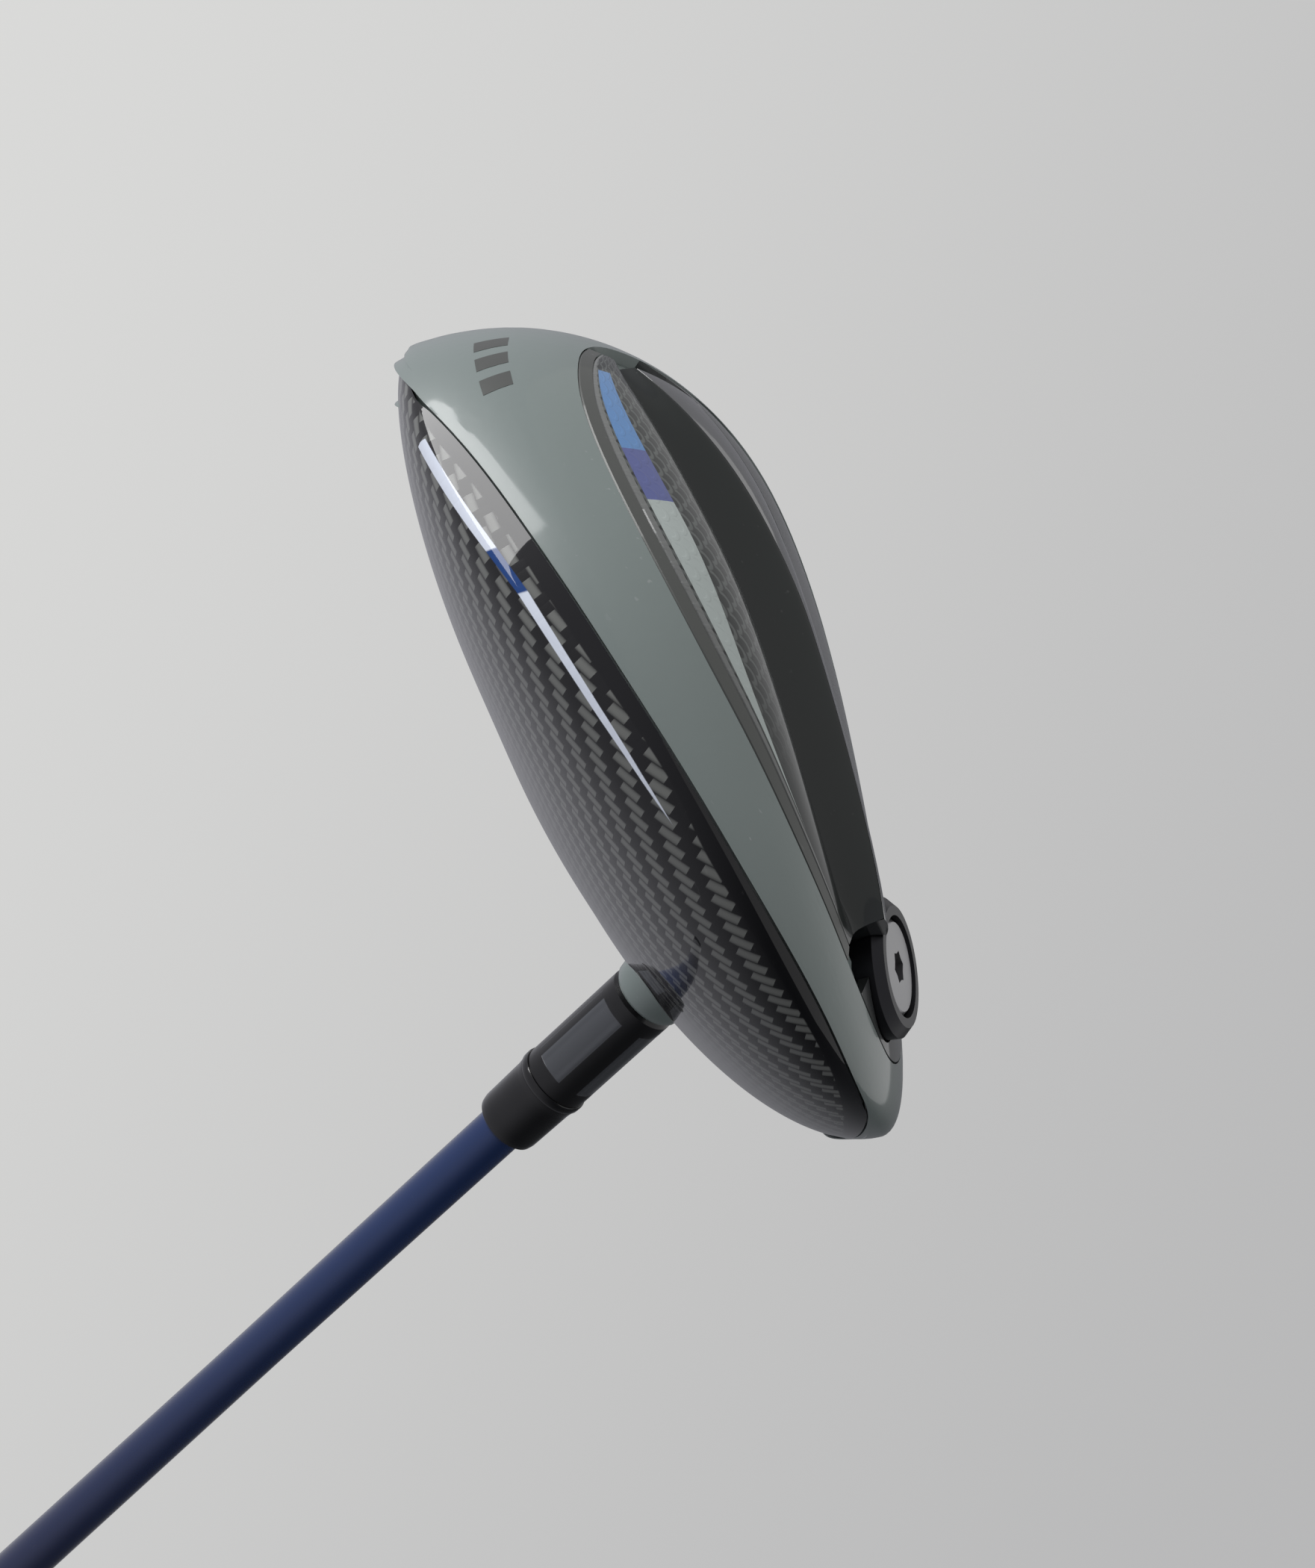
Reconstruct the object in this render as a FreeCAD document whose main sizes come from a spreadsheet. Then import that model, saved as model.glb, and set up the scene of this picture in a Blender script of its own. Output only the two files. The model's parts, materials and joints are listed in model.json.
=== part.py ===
import FreeCAD, Part
import math
import os
import Sketcher

# Golf driver, right-handed, standing at address: +X to the toe, +Y to the target, +Z up.
# The shaft axis crosses the ground plane at the origin and lies in the X-Z plane.
# All sizes are in millimetres and degrees and live in the sheet called "sizes".

V = FreeCAD.Vector
doc = FreeCAD.newDocument("driver")
sheet = doc.addObject("Spreadsheet::Sheet", "sizes")
VALUES = {}
_row = [0]


def size(alias, value, note):
    """Write one named size to the sheet."""
    _row[0] += 1
    r = _row[0]
    sheet.set("A%d" % r, note)
    sheet.set("B%d" % r, repr(value))
    sheet.setAlias("B%d" % r, alias)
    VALUES[alias] = value


# ---- overall head form ------------------------------------------------------
size("head_half_width", 60.3, "half width scale of the plan outline, heel to toe")
size("head_half_length", 58.7, "half length scale of the plan outline, face to rear")
size("head_cx", 30.6, "plan centre, X")
size("head_cy", -31.3, "plan centre, Y")
size("crown_top_x", 29.6, "highest point of the crown, X")
size("crown_top_y", 9.6, "highest point of the crown, Y")
size("crown_height", 56.9, "highest point of the crown, Z")
size("sole_low_x", 47.6, "lowest point of the sole, X")
size("sole_low_y", -38.4, "lowest point of the sole, Y")
size("sole_low_z", 4.0, "height of the sole form above the ground, under the ridge")
size("girth_mid", 28.5, "mean height of the widest line")
size("girth_toe", 11.1, "toe-up part of the widest line")
size("girth_front", 10.6, "front-up part of the widest line")
size("girth_twist", 2.8, "saddle part of the widest line")
size("face_loft_run", 0.185, "tangent of the loft angle")
size("face_mid_height", 33.0, "height where the face plane is hinged")
for _k, _v in enumerate((1.013, 1.062, 1.019, 0.927, 0.874, 0.948, 1.069, 1.119,
                         1.069, 1.001, 0.970, 0.986, 0.988, 0.940, 0.921, 0.944)):
    size("outline_%02d" % _k, _v, "plan outline station at %.1f degrees" % (22.5 * _k))
# fullness of the section curves
size("crown_full_rear", 0.401, "crown section fullness, rear")
size("crown_full_face", 2.4, "crown section fullness, face")
size("crown_full_toe", 0.456, "crown section fullness, toe")
size("crown_full_heel", 0.594, "crown section fullness, heel")
size("sole_full_rear", 1.02, "sole section fullness, rear")
size("sole_full_face", 2.0, "sole section fullness, face")
size("sole_full_side", 0.74, "sole section fullness, toe and heel")
# walls and gaps
size("crown_wall", 1.1, "wall of the crown panel")
size("sole_wall", 1.3, "wall of the sole panels")
size("face_wall", 2.4, "wall of the face plate")
size("seam_gap", 0.3, "gap between neighbouring skins")
size("ledge_wall", 1.7, "wall of the bonding ledges")
size("recess_depth", 7.0, "depth of the toe-side recess above the ridge rim")
size("ridge_drop", 3.6, "how far the ridge stands proud at the rear")
size("ridge_width", 10.0, "ridge width")
size("ridge_height", 8.0, "ridge height")
size("trim_width", 1.7, "width of the trim strip round the recess")
size("face_half_w", 42.0, "half width of the face plate")
size("face_half_h", 18.5, "half height of the face plate")
# hosel, sleeve, shaft
size("lie_angle", 59.7, "shaft angle to the ground")
size("hosel_top", 61.8, "ground to hosel top along the shaft axis")
size("hosel_od", 13.0, "hosel outside diameter at the top")
size("hosel_root_od", 21.0, "hosel diameter where it meets the head")
size("hosel_bore", 10.5, "hosel bore for the sleeve barrel")
size("hosel_seat", 29.0, "ground to the screw web along the axis")
size("web_wall", 4.0, "thickness of the screw web")
size("port_d", 9.4, "screw access bore")
size("pocket_d", 9.0, "bore round the screw head")
size("pocket_low", 22.0, "start of the screw head bore along the axis")
size("hosel_low", 4.0, "ground to the lower end of the hosel tube")
size("sleeve_od", 12.5, "sleeve visible diameter")
size("sleeve_visible", 23.0, "visible length of the sleeve")
size("sleeve_fit", 0.06, "running clearance of the barrel, radial")
size("sleeve_gap", 0.1, "gap between the sleeve shoulder and the hosel")
size("shaft_tip_d", 8.6, "shaft tip diameter")
size("shaft_butt_d", 15.2, "shaft butt diameter")
size("shaft_wall_tip", 1.7, "shaft wall at the tip")
size("shaft_wall_butt", 0.9, "shaft wall at the butt")
size("ferrule_len", 14.0, "ferrule length")
size("club_length", 1160.0, "ground to the butt end along the shaft axis")
size("grip_len", 267.0, "grip length")
size("grip_butt_d", 27.0, "grip diameter at the butt")
size("grip_mouth_d", 19.6, "grip diameter at the mouth")
size("tape_wall", 0.35, "grip tape thickness")
size("vent_d", 3.0, "vent hole in the butt cap")
# screws
size("bolt_d", 5.0, "hosel screw thread diameter")
size("bolt_pitch", 0.8, "hosel screw pitch")
size("bolt_head_d", 8.4, "hosel screw head diameter")
size("bolt_head_h", 5.0, "hosel screw head height")
size("socket_r", 2.2, "wrench socket outer radius")
size("socket_depth", 2.6, "wrench socket depth")
size("housing_d", 18.0, "rear weight housing diameter")
size("housing_h", 11.0, "rear weight housing height")
size("housing_x", 14.0, "housing centre, X")
size("housing_y", -70.5, "housing centre, Y")
size("housing_z", 3.4, "housing lower face, Z")
size("housing_tilt", 12.0, "tilt of the housing axis to the rear")
size("weight_d", 12.6, "rear weight diameter")
size("weight_h", 6.4, "rear weight height")
size("weight_thread_d", 8.0, "rear weight thread diameter")
size("weight_thread_l", 5.0, "rear weight thread length")
doc.recompute()
g = VALUES.get

# ---- head form --------------------------------------------------------------
STATIONS = [VALUES["outline_%02d" % k] for k in range(16)]


def outline(th):
    """Smooth closed curve through the sixteen outline stations."""
    total = 0.0
    for k, r in enumerate(STATIONS):
        d = th - k * math.pi / 8.0
        s = math.sin(d / 2.0)
        total += r if abs(s) < 1e-9 else r * math.sin(8.0 * d) * math.cos(d / 2.0) / s / 16.0
    return total


def near(th, centre, width):
    """Bell weight around one direction."""
    d = (th - centre + math.pi) % (2 * math.pi) - math.pi
    return math.exp(-(d / width) ** 2)


def fullness(th, rear, face, toe, heel):
    """Blend the section fullness around the head."""
    wf = near(th, math.pi / 2, 0.62)
    side = rear + (toe - rear) * near(th, 0.0, 0.75) + (heel - rear) * near(th, math.pi, 0.75)
    return side * (1 - wf) + face * wf


def girth(th):
    """Point of the widest line in the direction th."""
    r = outline(th)
    x = g("head_cx") + g("head_half_width") * r * math.cos(th)
    y = g("head_cy") + g("head_half_length") * r * math.sin(th)
    z = (g("girth_mid") + g("girth_toe") * math.cos(th) + g("girth_front") * math.sin(th)
         + g("girth_twist") * math.cos(2 * th))
    return x, y, z


def form(th, s, inset=0.0):
    """Point on the head form, pulled in by inset.

    s is 0 at the crown top, 1 on the widest line and 2 at the sole low point.
    """
    x, y, z = girth(th)
    x -= inset * math.cos(th)
    y -= inset * math.sin(th)
    if s <= 1:
        w = fullness(th, g("crown_full_rear"), g("crown_full_face"), g("crown_full_toe"),
                     g("crown_full_heel"))
        px, py, pz, t = g("crown_top_x"), g("crown_top_y") - inset, g("crown_height") - inset, s
    else:
        w = fullness(th, g("sole_full_rear"), g("sole_full_face"), g("sole_full_side"),
                     g("sole_full_side"))
        px, py, pz, t = g("sole_low_x"), g("sole_low_y"), g("sole_low_z") + inset, 2 - s
    m = 2 * w * t * (1 - t)
    den = (1 - t) ** 2 + m + t * t
    u = (m + t * t) / den
    v = ((1 - t) ** 2 + m) / den
    zz = z + (pz - z) * v
    yy = py + (y - py) * u
    yy -= g("face_loft_run") * (zz - g("face_mid_height")) * near(th, math.pi / 2, 1.0) * u * u
    return V(px + (x - px) * u, yy, zz)


def closed_curve(stations):
    """Periodic smooth curve through (degrees, value) stations."""
    pts = sorted(stations)
    n = len(pts)

    def slope(i):
        a0, v0 = pts[(i - 1) % n]
        a1, v1 = pts[(i + 1) % n]
        return (v1 - v0) / ((a1 - a0) % 360.0)

    def value(th):
        a = math.degrees(th)
        a = (a - pts[0][0]) % 360.0 + pts[0][0]
        i = 0
        while i < n - 1 and pts[i + 1][0] <= a:
            i += 1
        a0, v0 = pts[i]
        a1, v1 = pts[(i + 1) % n]
        h = (a1 - a0) % 360.0
        t = (a - a0) / h
        m0, m1 = slope(i) * h, slope((i + 1) % n) * h
        return ((2 * t ** 3 - 3 * t * t + 1) * v0 + (t ** 3 - 2 * t * t + t) * m0
                + (3 * t * t - 2 * t ** 3) * v1 + (t ** 3 - t * t) * m1)
    return value


# edge of the crown panel and edge of the sole opening, as s against direction
crown_seam = closed_curve([(-165, 0.80), (-145, 0.90), (-130, 0.96), (-111, 1.055), (-95, 1.115),
                           (-75, 1.11), (-55, 1.105), (-35, 1.10), (-18, 1.075), (-5, 1.02),
                           (7, 0.93), (20, 0.78), (36, 0.53), (60, 0.28), (90, 0.16),
                           (118, 0.18), (142, 0.34), (165, 0.55)])
sole_seam = closed_curve([(-160, 1.50), (-140, 1.38), (-122, 1.31), (-106, 1.34), (-90, 1.378),
                          (-70, 1.375), (-50, 1.355), (-20, 1.345), (4, 1.35), (20, 1.385),
                          (36, 1.55), (60, 1.70), (90, 1.765), (120, 1.77), (148, 1.76),
                          (172, 1.66), (185, 1.60)])


# ---- solid helpers ----------------------------------------------------------
def curve(points, closed):
    """Smooth wire through points, evenly parameterised so that lofts line up row to row."""
    n = len(points) if closed else len(points) - 1
    c = Part.BSplineCurve()
    c.interpolate(Points=points, PeriodicFlag=closed,
                  Parameters=[i / float(n) for i in range(n + 1)])
    return Part.Wire([c.toShape()])


def close_up(faces):
    """Sew faces into one solid."""
    comp = Part.makeCompound(faces)
    comp.sewShape(0.01)
    if len(comp.Shells) != 1:
        raise RuntimeError("sewing gave %d shells" % len(comp.Shells))
    solid = Part.makeSolid(comp.Shells[0])
    if solid.Volume < 0:
        solid.reverse()
    return solid


def loop(fn, s_of, n=48):
    """Closed wire around the head at s_of(direction)."""
    ths = [-math.pi + 2 * math.pi * i / n for i in range(n)]
    return curve([fn(th, s_of(th)) for th in ths], True)


def dome(edge, outer, inner, rows):
    """Cap from the crown top out to an edge curve."""
    def half(fn):
        wires = [loop(fn, lambda th: edge(th) * j / float(rows)) for j in range(1, rows + 1)]
        faces = Part.makeLoft([Part.Vertex(fn(0.0, 0.0))] + wires, False, False, False).Faces
        return faces, wires[-1]
    fo, wo = half(outer)
    fi, wi = half(inner)
    return close_up(fo + fi + Part.makeLoft([wo, wi], False, True, False).Faces)


def slab(outer, inner):
    """Solid between two open grids of points."""
    def sheet_of(rows):
        return Part.makeLoft([curve(r, False) for r in rows], False, False, False).Faces[0]

    def side(face, p, q):
        for e in face.Edges:
            a, b = e.valueAt(e.FirstParameter), e.valueAt(e.LastParameter)
            if (a - p).Length + (b - q).Length < 0.01 or (a - q).Length + (b - p).Length < 0.01:
                return e
        raise RuntimeError("no side edge")
    fo, fi = sheet_of(outer), sheet_of(inner)
    faces = [fo, fi]
    ends = [((0, 0), (0, -1)), ((-1, 0), (-1, -1)), ((0, 0), (-1, 0)), ((0, -1), (-1, -1))]
    for (i, j), (k, m) in ends:
        faces.append(Part.makeRuledSurface(side(fo, outer[i][j], outer[k][m]),
                                           side(fi, inner[i][j], inner[k][m])))
    return close_up(faces)


def put(label, shape):
    """Add a finished shape as one named piece."""
    obj = doc.addObject("Part::Feature", label)
    obj.Label = label
    obj.Shape = shape
    pieces.append(obj)
    return obj


pieces = []
lie = math.radians(g("lie_angle"))
AX = V(-math.cos(lie), 0, math.sin(lie))
ON_AXIS = FreeCAD.Placement(V(0, 0, 0), FreeCAD.Rotation(V(0, 0, 1), AX))


def lathe(profile, placement=ON_AXIS):
    """Revolved solid about the placement's Z from (radius, height) points."""
    pts = [V(r, 0, z) for r, z in profile]
    s = Part.Face(Part.makePolygon(pts + [pts[0]])).revolve(V(0, 0, 0), V(0, 0, 1), 360)
    s.Placement = placement
    return s


def rod(radius, z0, z1, placement=ON_AXIS):
    s = Part.makeCylinder(radius, z1 - z0, V(0, 0, z0))
    s.Placement = placement
    return s


# ---- crown panel ------------------------------------------------------------
def inset_s(th, seam, gap, toward):
    """A seam moved by a gap, as s."""
    s = seam(th)
    e = 0.02 * toward
    return s + gap * e / (form(th, s) - form(th, s + e)).Length


def crown_edge(th):
    return inset_s(th, crown_seam, g("seam_gap"), -1)


put("crown_panel", dome(crown_edge, lambda th, s: form(th, s),
                        lambda th, s: form(th, s, g("crown_wall")), 11))
print("crown", pieces[-1].Shape.isValid(), pieces[-1].Shape.Volume)

# ---- cast ring with built-in bonding ledges -----------------------------------
def cast_ring():
    """Wall between the two seams with a stepped ledge under each panel."""
    dc, ds = g("crown_wall") + g("seam_gap"), g("sole_wall") + g("seam_gap")
    dc2, ds2 = dc + g("ledge_wall"), ds + g("ledge_wall")

    def c_in(th):
        return crown_seam(th) - 0.09

    def s_in(th):
        return sole_seam(th) + 0.07

    def wire(s_of, d):
        return loop(lambda th, s: form(th, s, d), s_of)
    rows = 19
    out = [wire(lambda th: crown_seam(th) + (sole_seam(th) - crown_seam(th)) * j / (rows - 1.0),
                0.0) for j in range(rows)]
    inn = [wire(lambda th: c_in(th) + (s_in(th) - c_in(th)) * j / (rows - 1.0),
                dc2 + (ds2 - dc2) * j / (rows - 1.0)) for j in range(rows)]
    steps = [out[-1], wire(sole_seam, ds), wire(s_in, ds), inn[-1]]
    steps2 = [inn[0], wire(c_in, dc), wire(crown_seam, dc), out[0]]
    faces = (Part.makeLoft(out, False, False, False).Faces
             + Part.makeLoft(inn, False, False, False).Faces)
    for w in (steps, steps2):
        for p, q in zip(w, w[1:]):
            faces += Part.makeLoft([p, q], False, True, False).Faces
    return close_up(faces)


def solid_form(inset):
    """The whole head form as one solid, pulled in by inset."""
    tip = Part.Vertex(form(0.0, 0.0, inset))
    toe = Part.Vertex(form(0.0, 2.0, inset))
    wires = [loop(lambda th, s: form(th, s, inset), lambda th: 2.0 * j / 24.0)
             for j in range(1, 24)]
    return close_up(Part.makeLoft([tip] + wires[:12], False, False, False).Faces
                    + Part.makeLoft(wires[11:] + [toe], False, False, False).Faces)


ring_body = cast_ring()
top, low = g("hosel_top"), g("hosel_low")
seat, web = g("hosel_seat"), g("hosel_seat") + g("web_wall")
od, root = g("hosel_od") / 2, g("hosel_root_od") / 2
casting = ring_body

# ---- face plate in its pocket -------------------------------------------------
LOFT = math.atan(g("face_loft_run"))
FACE = FreeCAD.Placement(V(34, 40, g("face_mid_height")),
                         FreeCAD.Rotation(V(1, 0, 0), V(0, -math.sin(LOFT), math.cos(LOFT)),
                                          V(0, -math.cos(LOFT), -math.sin(LOFT)), "ZXY"))


def oval(grow, depth=27.0):
    """Prism along the face normal with a rounded outline."""
    hw, hh = g("face_half_w") + grow, g("face_half_h") + grow
    pts = []
    for i in range(40):
        ca, sa = math.cos(math.pi * i / 20), math.sin(math.pi * i / 20)
        pts.append(V(math.copysign(hw * abs(ca) ** 0.8, ca),
                     math.copysign(hh * abs(sa) ** 0.8, sa) + 0.06 * hw * ca, 0))
    s = Part.Face(curve(pts, True)).extrude(V(0, 0, depth))
    s.Placement = FACE
    return s


def front_slab(d0, d1):
    """Piece of the front wall between two depths."""
    ths = [math.radians(8 + 164 * i / 24.0) for i in range(25)]
    ss = [0.25 + 1.5 * j / 16.0 for j in range(17)]
    return slab([[form(th, s, d0) for th in ths] for s in ss],
                [[form(th, s, d1) for th in ths] for s in ss])


fw, gap = g("face_wall"), g("seam_gap")
casting = casting.cut(oval(gap))
face_ledge = front_slab(fw + gap, fw + gap + 1.2).common(oval(2.5)).cut(oval(-4.0))
casting = casting.fuse(face_ledge)
put("face_plate", front_slab(0.0, fw).common(oval(0.0)))
print("face", pieces[-1].Shape.isValid(), len(pieces[-1].Shape.Solids), casting.isValid(),
      len(casting.Solids))

# ---- sole: plan curves and heights ---------------------------------------------
_girth = [girth(math.radians(i)) for i in range(-180, 181)]
_turn = []
for _x, _y, _z in _girth:
    a = math.atan2(_y - g("sole_low_y"), _x - g("sole_low_x"))
    while _turn and a < _turn[-1] - math.pi:
        a += 2 * math.pi
    _turn.append(a)


def sole_at(x, y):
    """Height of the sole form over a plan point."""
    bx, by = g("sole_low_x"), g("sole_low_y")
    dx, dy = x - bx, y - by
    if math.hypot(dx, dy) < 0.05:
        return g("sole_low_z")
    a = math.atan2(dy, dx)
    while a < _turn[0]:
        a += 2 * math.pi
    while a >= _turn[-1]:
        a -= 2 * math.pi
    i = max(k for k in range(len(_turn) - 1) if _turn[k] <= a)
    th = math.radians(-180 + i + (a - _turn[i]) / (_turn[i + 1] - _turn[i]))
    gx, gy, gz = girth(th)
    u = math.hypot(dx, dy) / math.hypot(gx - bx, gy - by)
    w = fullness(th, g("sole_full_rear"), g("sole_full_face"), g("sole_full_side"),
                 g("sole_full_side"))
    lo, hi = 0.0, 1.0
    for _ in range(40):
        t = (lo + hi) / 2
        m = 2 * w * t * (1 - t)
        if (m + t * t) / ((1 - t) ** 2 + m + t * t) < u:
            lo = t
        else:
            hi = t
    m = 2 * w * t * (1 - t)
    return gz + (g("sole_low_z") - gz) * ((1 - t) ** 2 + m) / ((1 - t) ** 2 + m + t * t)


RIM = [V(80.5, -17.5, 0), V(75.5, -23.5, 0), (V(69.0, -29.0, 0)), V(61.5, -35.5, 0),
       V(53.5, -43.0, 0), V(45.5, -51.5, 0), V(38.0, -60.5, 0), V(31.0, -69.5, 0),
       V(26.0, -76.5, 0)]
_rim = Part.BSplineCurve()
_rim.interpolate(RIM)


def rim(k, off=0.0):
    """Plan point on the toe-side rim of the ridge, moved toward the heel by off."""
    u = _rim.FirstParameter + (_rim.LastParameter - _rim.FirstParameter) * k
    p, d = _rim.value(u), _rim.tangent(u)[0]
    return V(p.x + d.y * off, p.y - d.x * off, 0)


def edge(deg, inward_by):
    """Plan point just inside the sole opening."""
    th = math.radians(deg)
    s = inset_s(th, sole_seam, inward_by, 1)
    p = form(th, s)
    return V(p.x, p.y, 0)


def shade(v):
    """Recess profile from the trim (0) to the rim (1)."""
    if v < 0.8:
        return (v / 0.8) ** 2.6
    return max(0.0, math.cos(math.pi / 2 * (v - 0.8) / 0.2)) ** 0.8


def plan_slab(a_of, b_of, height, wall, rows=11, cols=25):
    """Solid over the plan region between two curves, walled upward."""
    lower, upper = [], []
    for j in range(rows):
        v = j / (rows - 1.0)
        row, row2 = [], []
        for i in range(cols):
            k = i / (cols - 1.0)
            a, b = a_of(k), b_of(k)
            p = a + (b - a) * v
            z = sole_at(p.x, p.y) + height(k, v)
            row.append(V(p.x, p.y, z))
            row2.append(V(p.x, p.y, z + wall(k, v)))
        lower.append(row)
        upper.append(row2)
    return slab(lower, upper)


def toe_dir(k):
    return 16.0 - 114.0 * k


def heel_dir(k):
    return 27.0 + 229.0 * k


def drop(k):
    """How far the ridge stands proud along its length."""
    return g("ridge_drop") * k ** 1.5


def recess(k, v):
    along = max(0.0, math.sin(math.pi * min(1.0, 0.04 + k * 0.96))) ** 0.6
    return g("recess_depth") * along * shade(v)


trim0, trim1 = gap, gap + g("trim_width")
wall = g("sole_wall")
trim = plan_slab(lambda k: edge(toe_dir(k), trim0), lambda k: edge(toe_dir(k), trim1),
                 lambda k, v: 0.0, lambda k, v: wall, 3, 31)
toe_panel = plan_slab(lambda k: edge(toe_dir(k), trim1 + gap), lambda k: rim(k, -gap),
                      lambda k, v: recess(k, v) * (1 - v ** 12) - drop(k) * v ** 6,
                      lambda k, v: wall, 17, 31)
ridge = plan_slab(lambda k: rim(k), lambda k: rim(k, g("ridge_width")),
                  lambda k, v: -drop(k) * (1 - v * v), lambda k, v: g("ridge_height"), 7, 31)
heel_panel = plan_slab(lambda k: edge(heel_dir(k), gap),
                       lambda k: rim(k, g("ridge_width") + gap),
                       lambda k, v: 0.0, lambda k, v: wall, 9, 41)
# room for the panels, and a gap, in the ledges of the casting
room_up = 0.35
reach = 9.0
for lower, near_edge, far_edge, up in (
        (lambda k, v: -1.5 * gap, lambda k: edge(toe_dir(k), 0.05),
         lambda k: edge(toe_dir(k), reach), wall + 0.9),
        (lambda k, v: -2.0 * gap, lambda k: edge(heel_dir(k), 0.05),
         lambda k: edge(heel_dir(k), reach), wall + 0.5),
        (lambda k, v: -drop(k) * (1 - v * v) - gap, lambda k: rim(k, -gap),
         lambda k: rim(k, g("ridge_width") + gap), g("ridge_height"))):
    cutter = plan_slab(near_edge, far_edge, lower,
                       lambda k, v, up=up: up + gap + room_up, 13, 31)
    casting = casting.cut(cutter)
    print("   cut", casting.isValid(), len(casting.Solids), round(casting.Volume))

# ---- neck, tube and bores ------------------------------------------------------
neck = lathe([(0, top - 28), (root - 2, top - 28), (root, top - 23), (root, top - 18),
              (od + 1.6, top - 9), (od + 0.4, top - 3), (od, top - 0.8), (od - 0.6, top),
              (0, top)])
tube = rod(od + 1.5, low, top - 20).common(solid_form(0.15))
casting = casting.fuse([neck, tube])
casting = casting.cut(rod(g("hosel_bore") / 2, web, top + 5))
casting = casting.cut(rod(g("bolt_d") / 2 + 0.25, seat - 5, top))
casting = casting.cut(rod(g("port_d") / 2, low - 25, g("pocket_low")))
casting = casting.cut(rod(g("pocket_d") / 2, g("pocket_low") - 1, seat))

heel_panel = heel_panel.cut(rod(od + 1.5 + gap, low - 25, top))
print("sole", trim.isValid(), toe_panel.isValid(), ridge.isValid(), heel_panel.isValid())

# ---- rear weight housing -------------------------------------------------------
HOUSE = FreeCAD.Placement(V(g("housing_x"), g("housing_y"), g("housing_z")),
                          FreeCAD.Rotation(V(1, 0, 0), -g("housing_tilt")))
hr, hh = g("housing_d") / 2, g("housing_h")
wr, wh, wt = g("weight_d") / 2, g("weight_h"), g("weight_thread_d") / 2
seal_h = 0.8


def house_solid(grow):
    r, h = hr + grow, hh + grow
    return lathe([(0, -grow), (r - 1.2, -grow), (r, 1.2 - grow), (r, h - 2.0), (r - 2.0, h),
                  (0, h)], HOUSE)


housing = house_solid(0.0)
housing = housing.cut(rod(wr + 0.25, -2, wh + seal_h + 0.05, HOUSE))
housing = housing.cut(rod(wt + 0.08, wh, hh + 5, HOUSE))
room = house_solid(gap)
casting = casting.cut(room)
trim, toe_panel = trim.cut(room), toe_panel.cut(room)
ridge, heel_panel = ridge.cut(room), heel_panel.cut(room)


def biggest(shape):
    """Largest solid of a shape; refuses to drop anything that is not a sliver."""
    ordered = sorted(shape.Solids, key=lambda x: -x.Volume)
    lost = sum(x.Volume for x in ordered[1:])
    print("   solids", len(ordered), "kept", round(ordered[0].Volume, 1), "dropped", round(lost, 2))
    return ordered[0]


for name, shape in (("head_casting", casting), ("recess_trim", trim),
                    ("toe_sole_panel", toe_panel), ("sole_ridge", ridge),
                    ("heel_sole_panel", heel_panel), ("weight_housing", housing)):
    put(name, biggest(shape))


# ---- turned pieces, drawn as bound sketches ------------------------------------
class Q:
    """A number together with the sheet expression that gives it."""

    def __init__(self, value, text=None):
        self.v = float(value)
        self.t = text if text is not None else repr(float(value))

    def _with(self, other, sign, value):
        o = other if isinstance(other, Q) else Q(other)
        return Q(value(self.v, o.v), "(%s %s %s)" % (self.t, sign, o.t))

    def __add__(self, o):
        return self._with(o, "+", lambda a, b: a + b)

    def __sub__(self, o):
        return self._with(o, "-", lambda a, b: a - b)

    def __mul__(self, o):
        return self._with(o, "*", lambda a, b: a * b)

    def __truediv__(self, o):
        return self._with(o, "/", lambda a, b: a / b)


def q(alias):
    return Q(VALUES[alias], "sizes." + alias)


def plane_of(body, role):
    return [f for f in body.Origin.OriginFeatures if f.Role == role][0]


def outline_sketch(body, name, role, pts, offset=None):
    """Closed polygon with every corner bound to the sheet."""
    sk = body.newObject("Sketcher::SketchObject", name)
    sk.AttachmentSupport = [(plane_of(body, role), "")]
    sk.MapMode = "FlatFace"
    if offset is not None:
        sk.AttachmentOffset = FreeCAD.Placement(V(0, 0, offset.v), FreeCAD.Rotation())
        sk.setExpression("AttachmentOffset.Base.z", offset.t)
    n = len(pts)
    xy = [V(a.v, b.v, 0) for a, b in pts]
    sk.addGeometry([Part.LineSegment(xy[i], xy[(i + 1) % n]) for i in range(n)], False)
    for i in range(n):
        sk.addConstraint(Sketcher.Constraint("Coincident", i, 2, (i + 1) % n, 1))
    for i, (a, b) in enumerate(pts):
        for kind, val in (("DistanceX", a), ("DistanceY", b)):
            if abs(val.v) < 1e-9:
                axis = -2 if kind == "DistanceX" else -1
                sk.addConstraint(Sketcher.Constraint("PointOnObject", i, 1, axis))
            else:
                c = sk.addConstraint(Sketcher.Constraint(kind, -1, 1, i, 1, val.v))
                sk.setExpression("Constraints[%d]" % c, val.t)
    return sk


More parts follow.
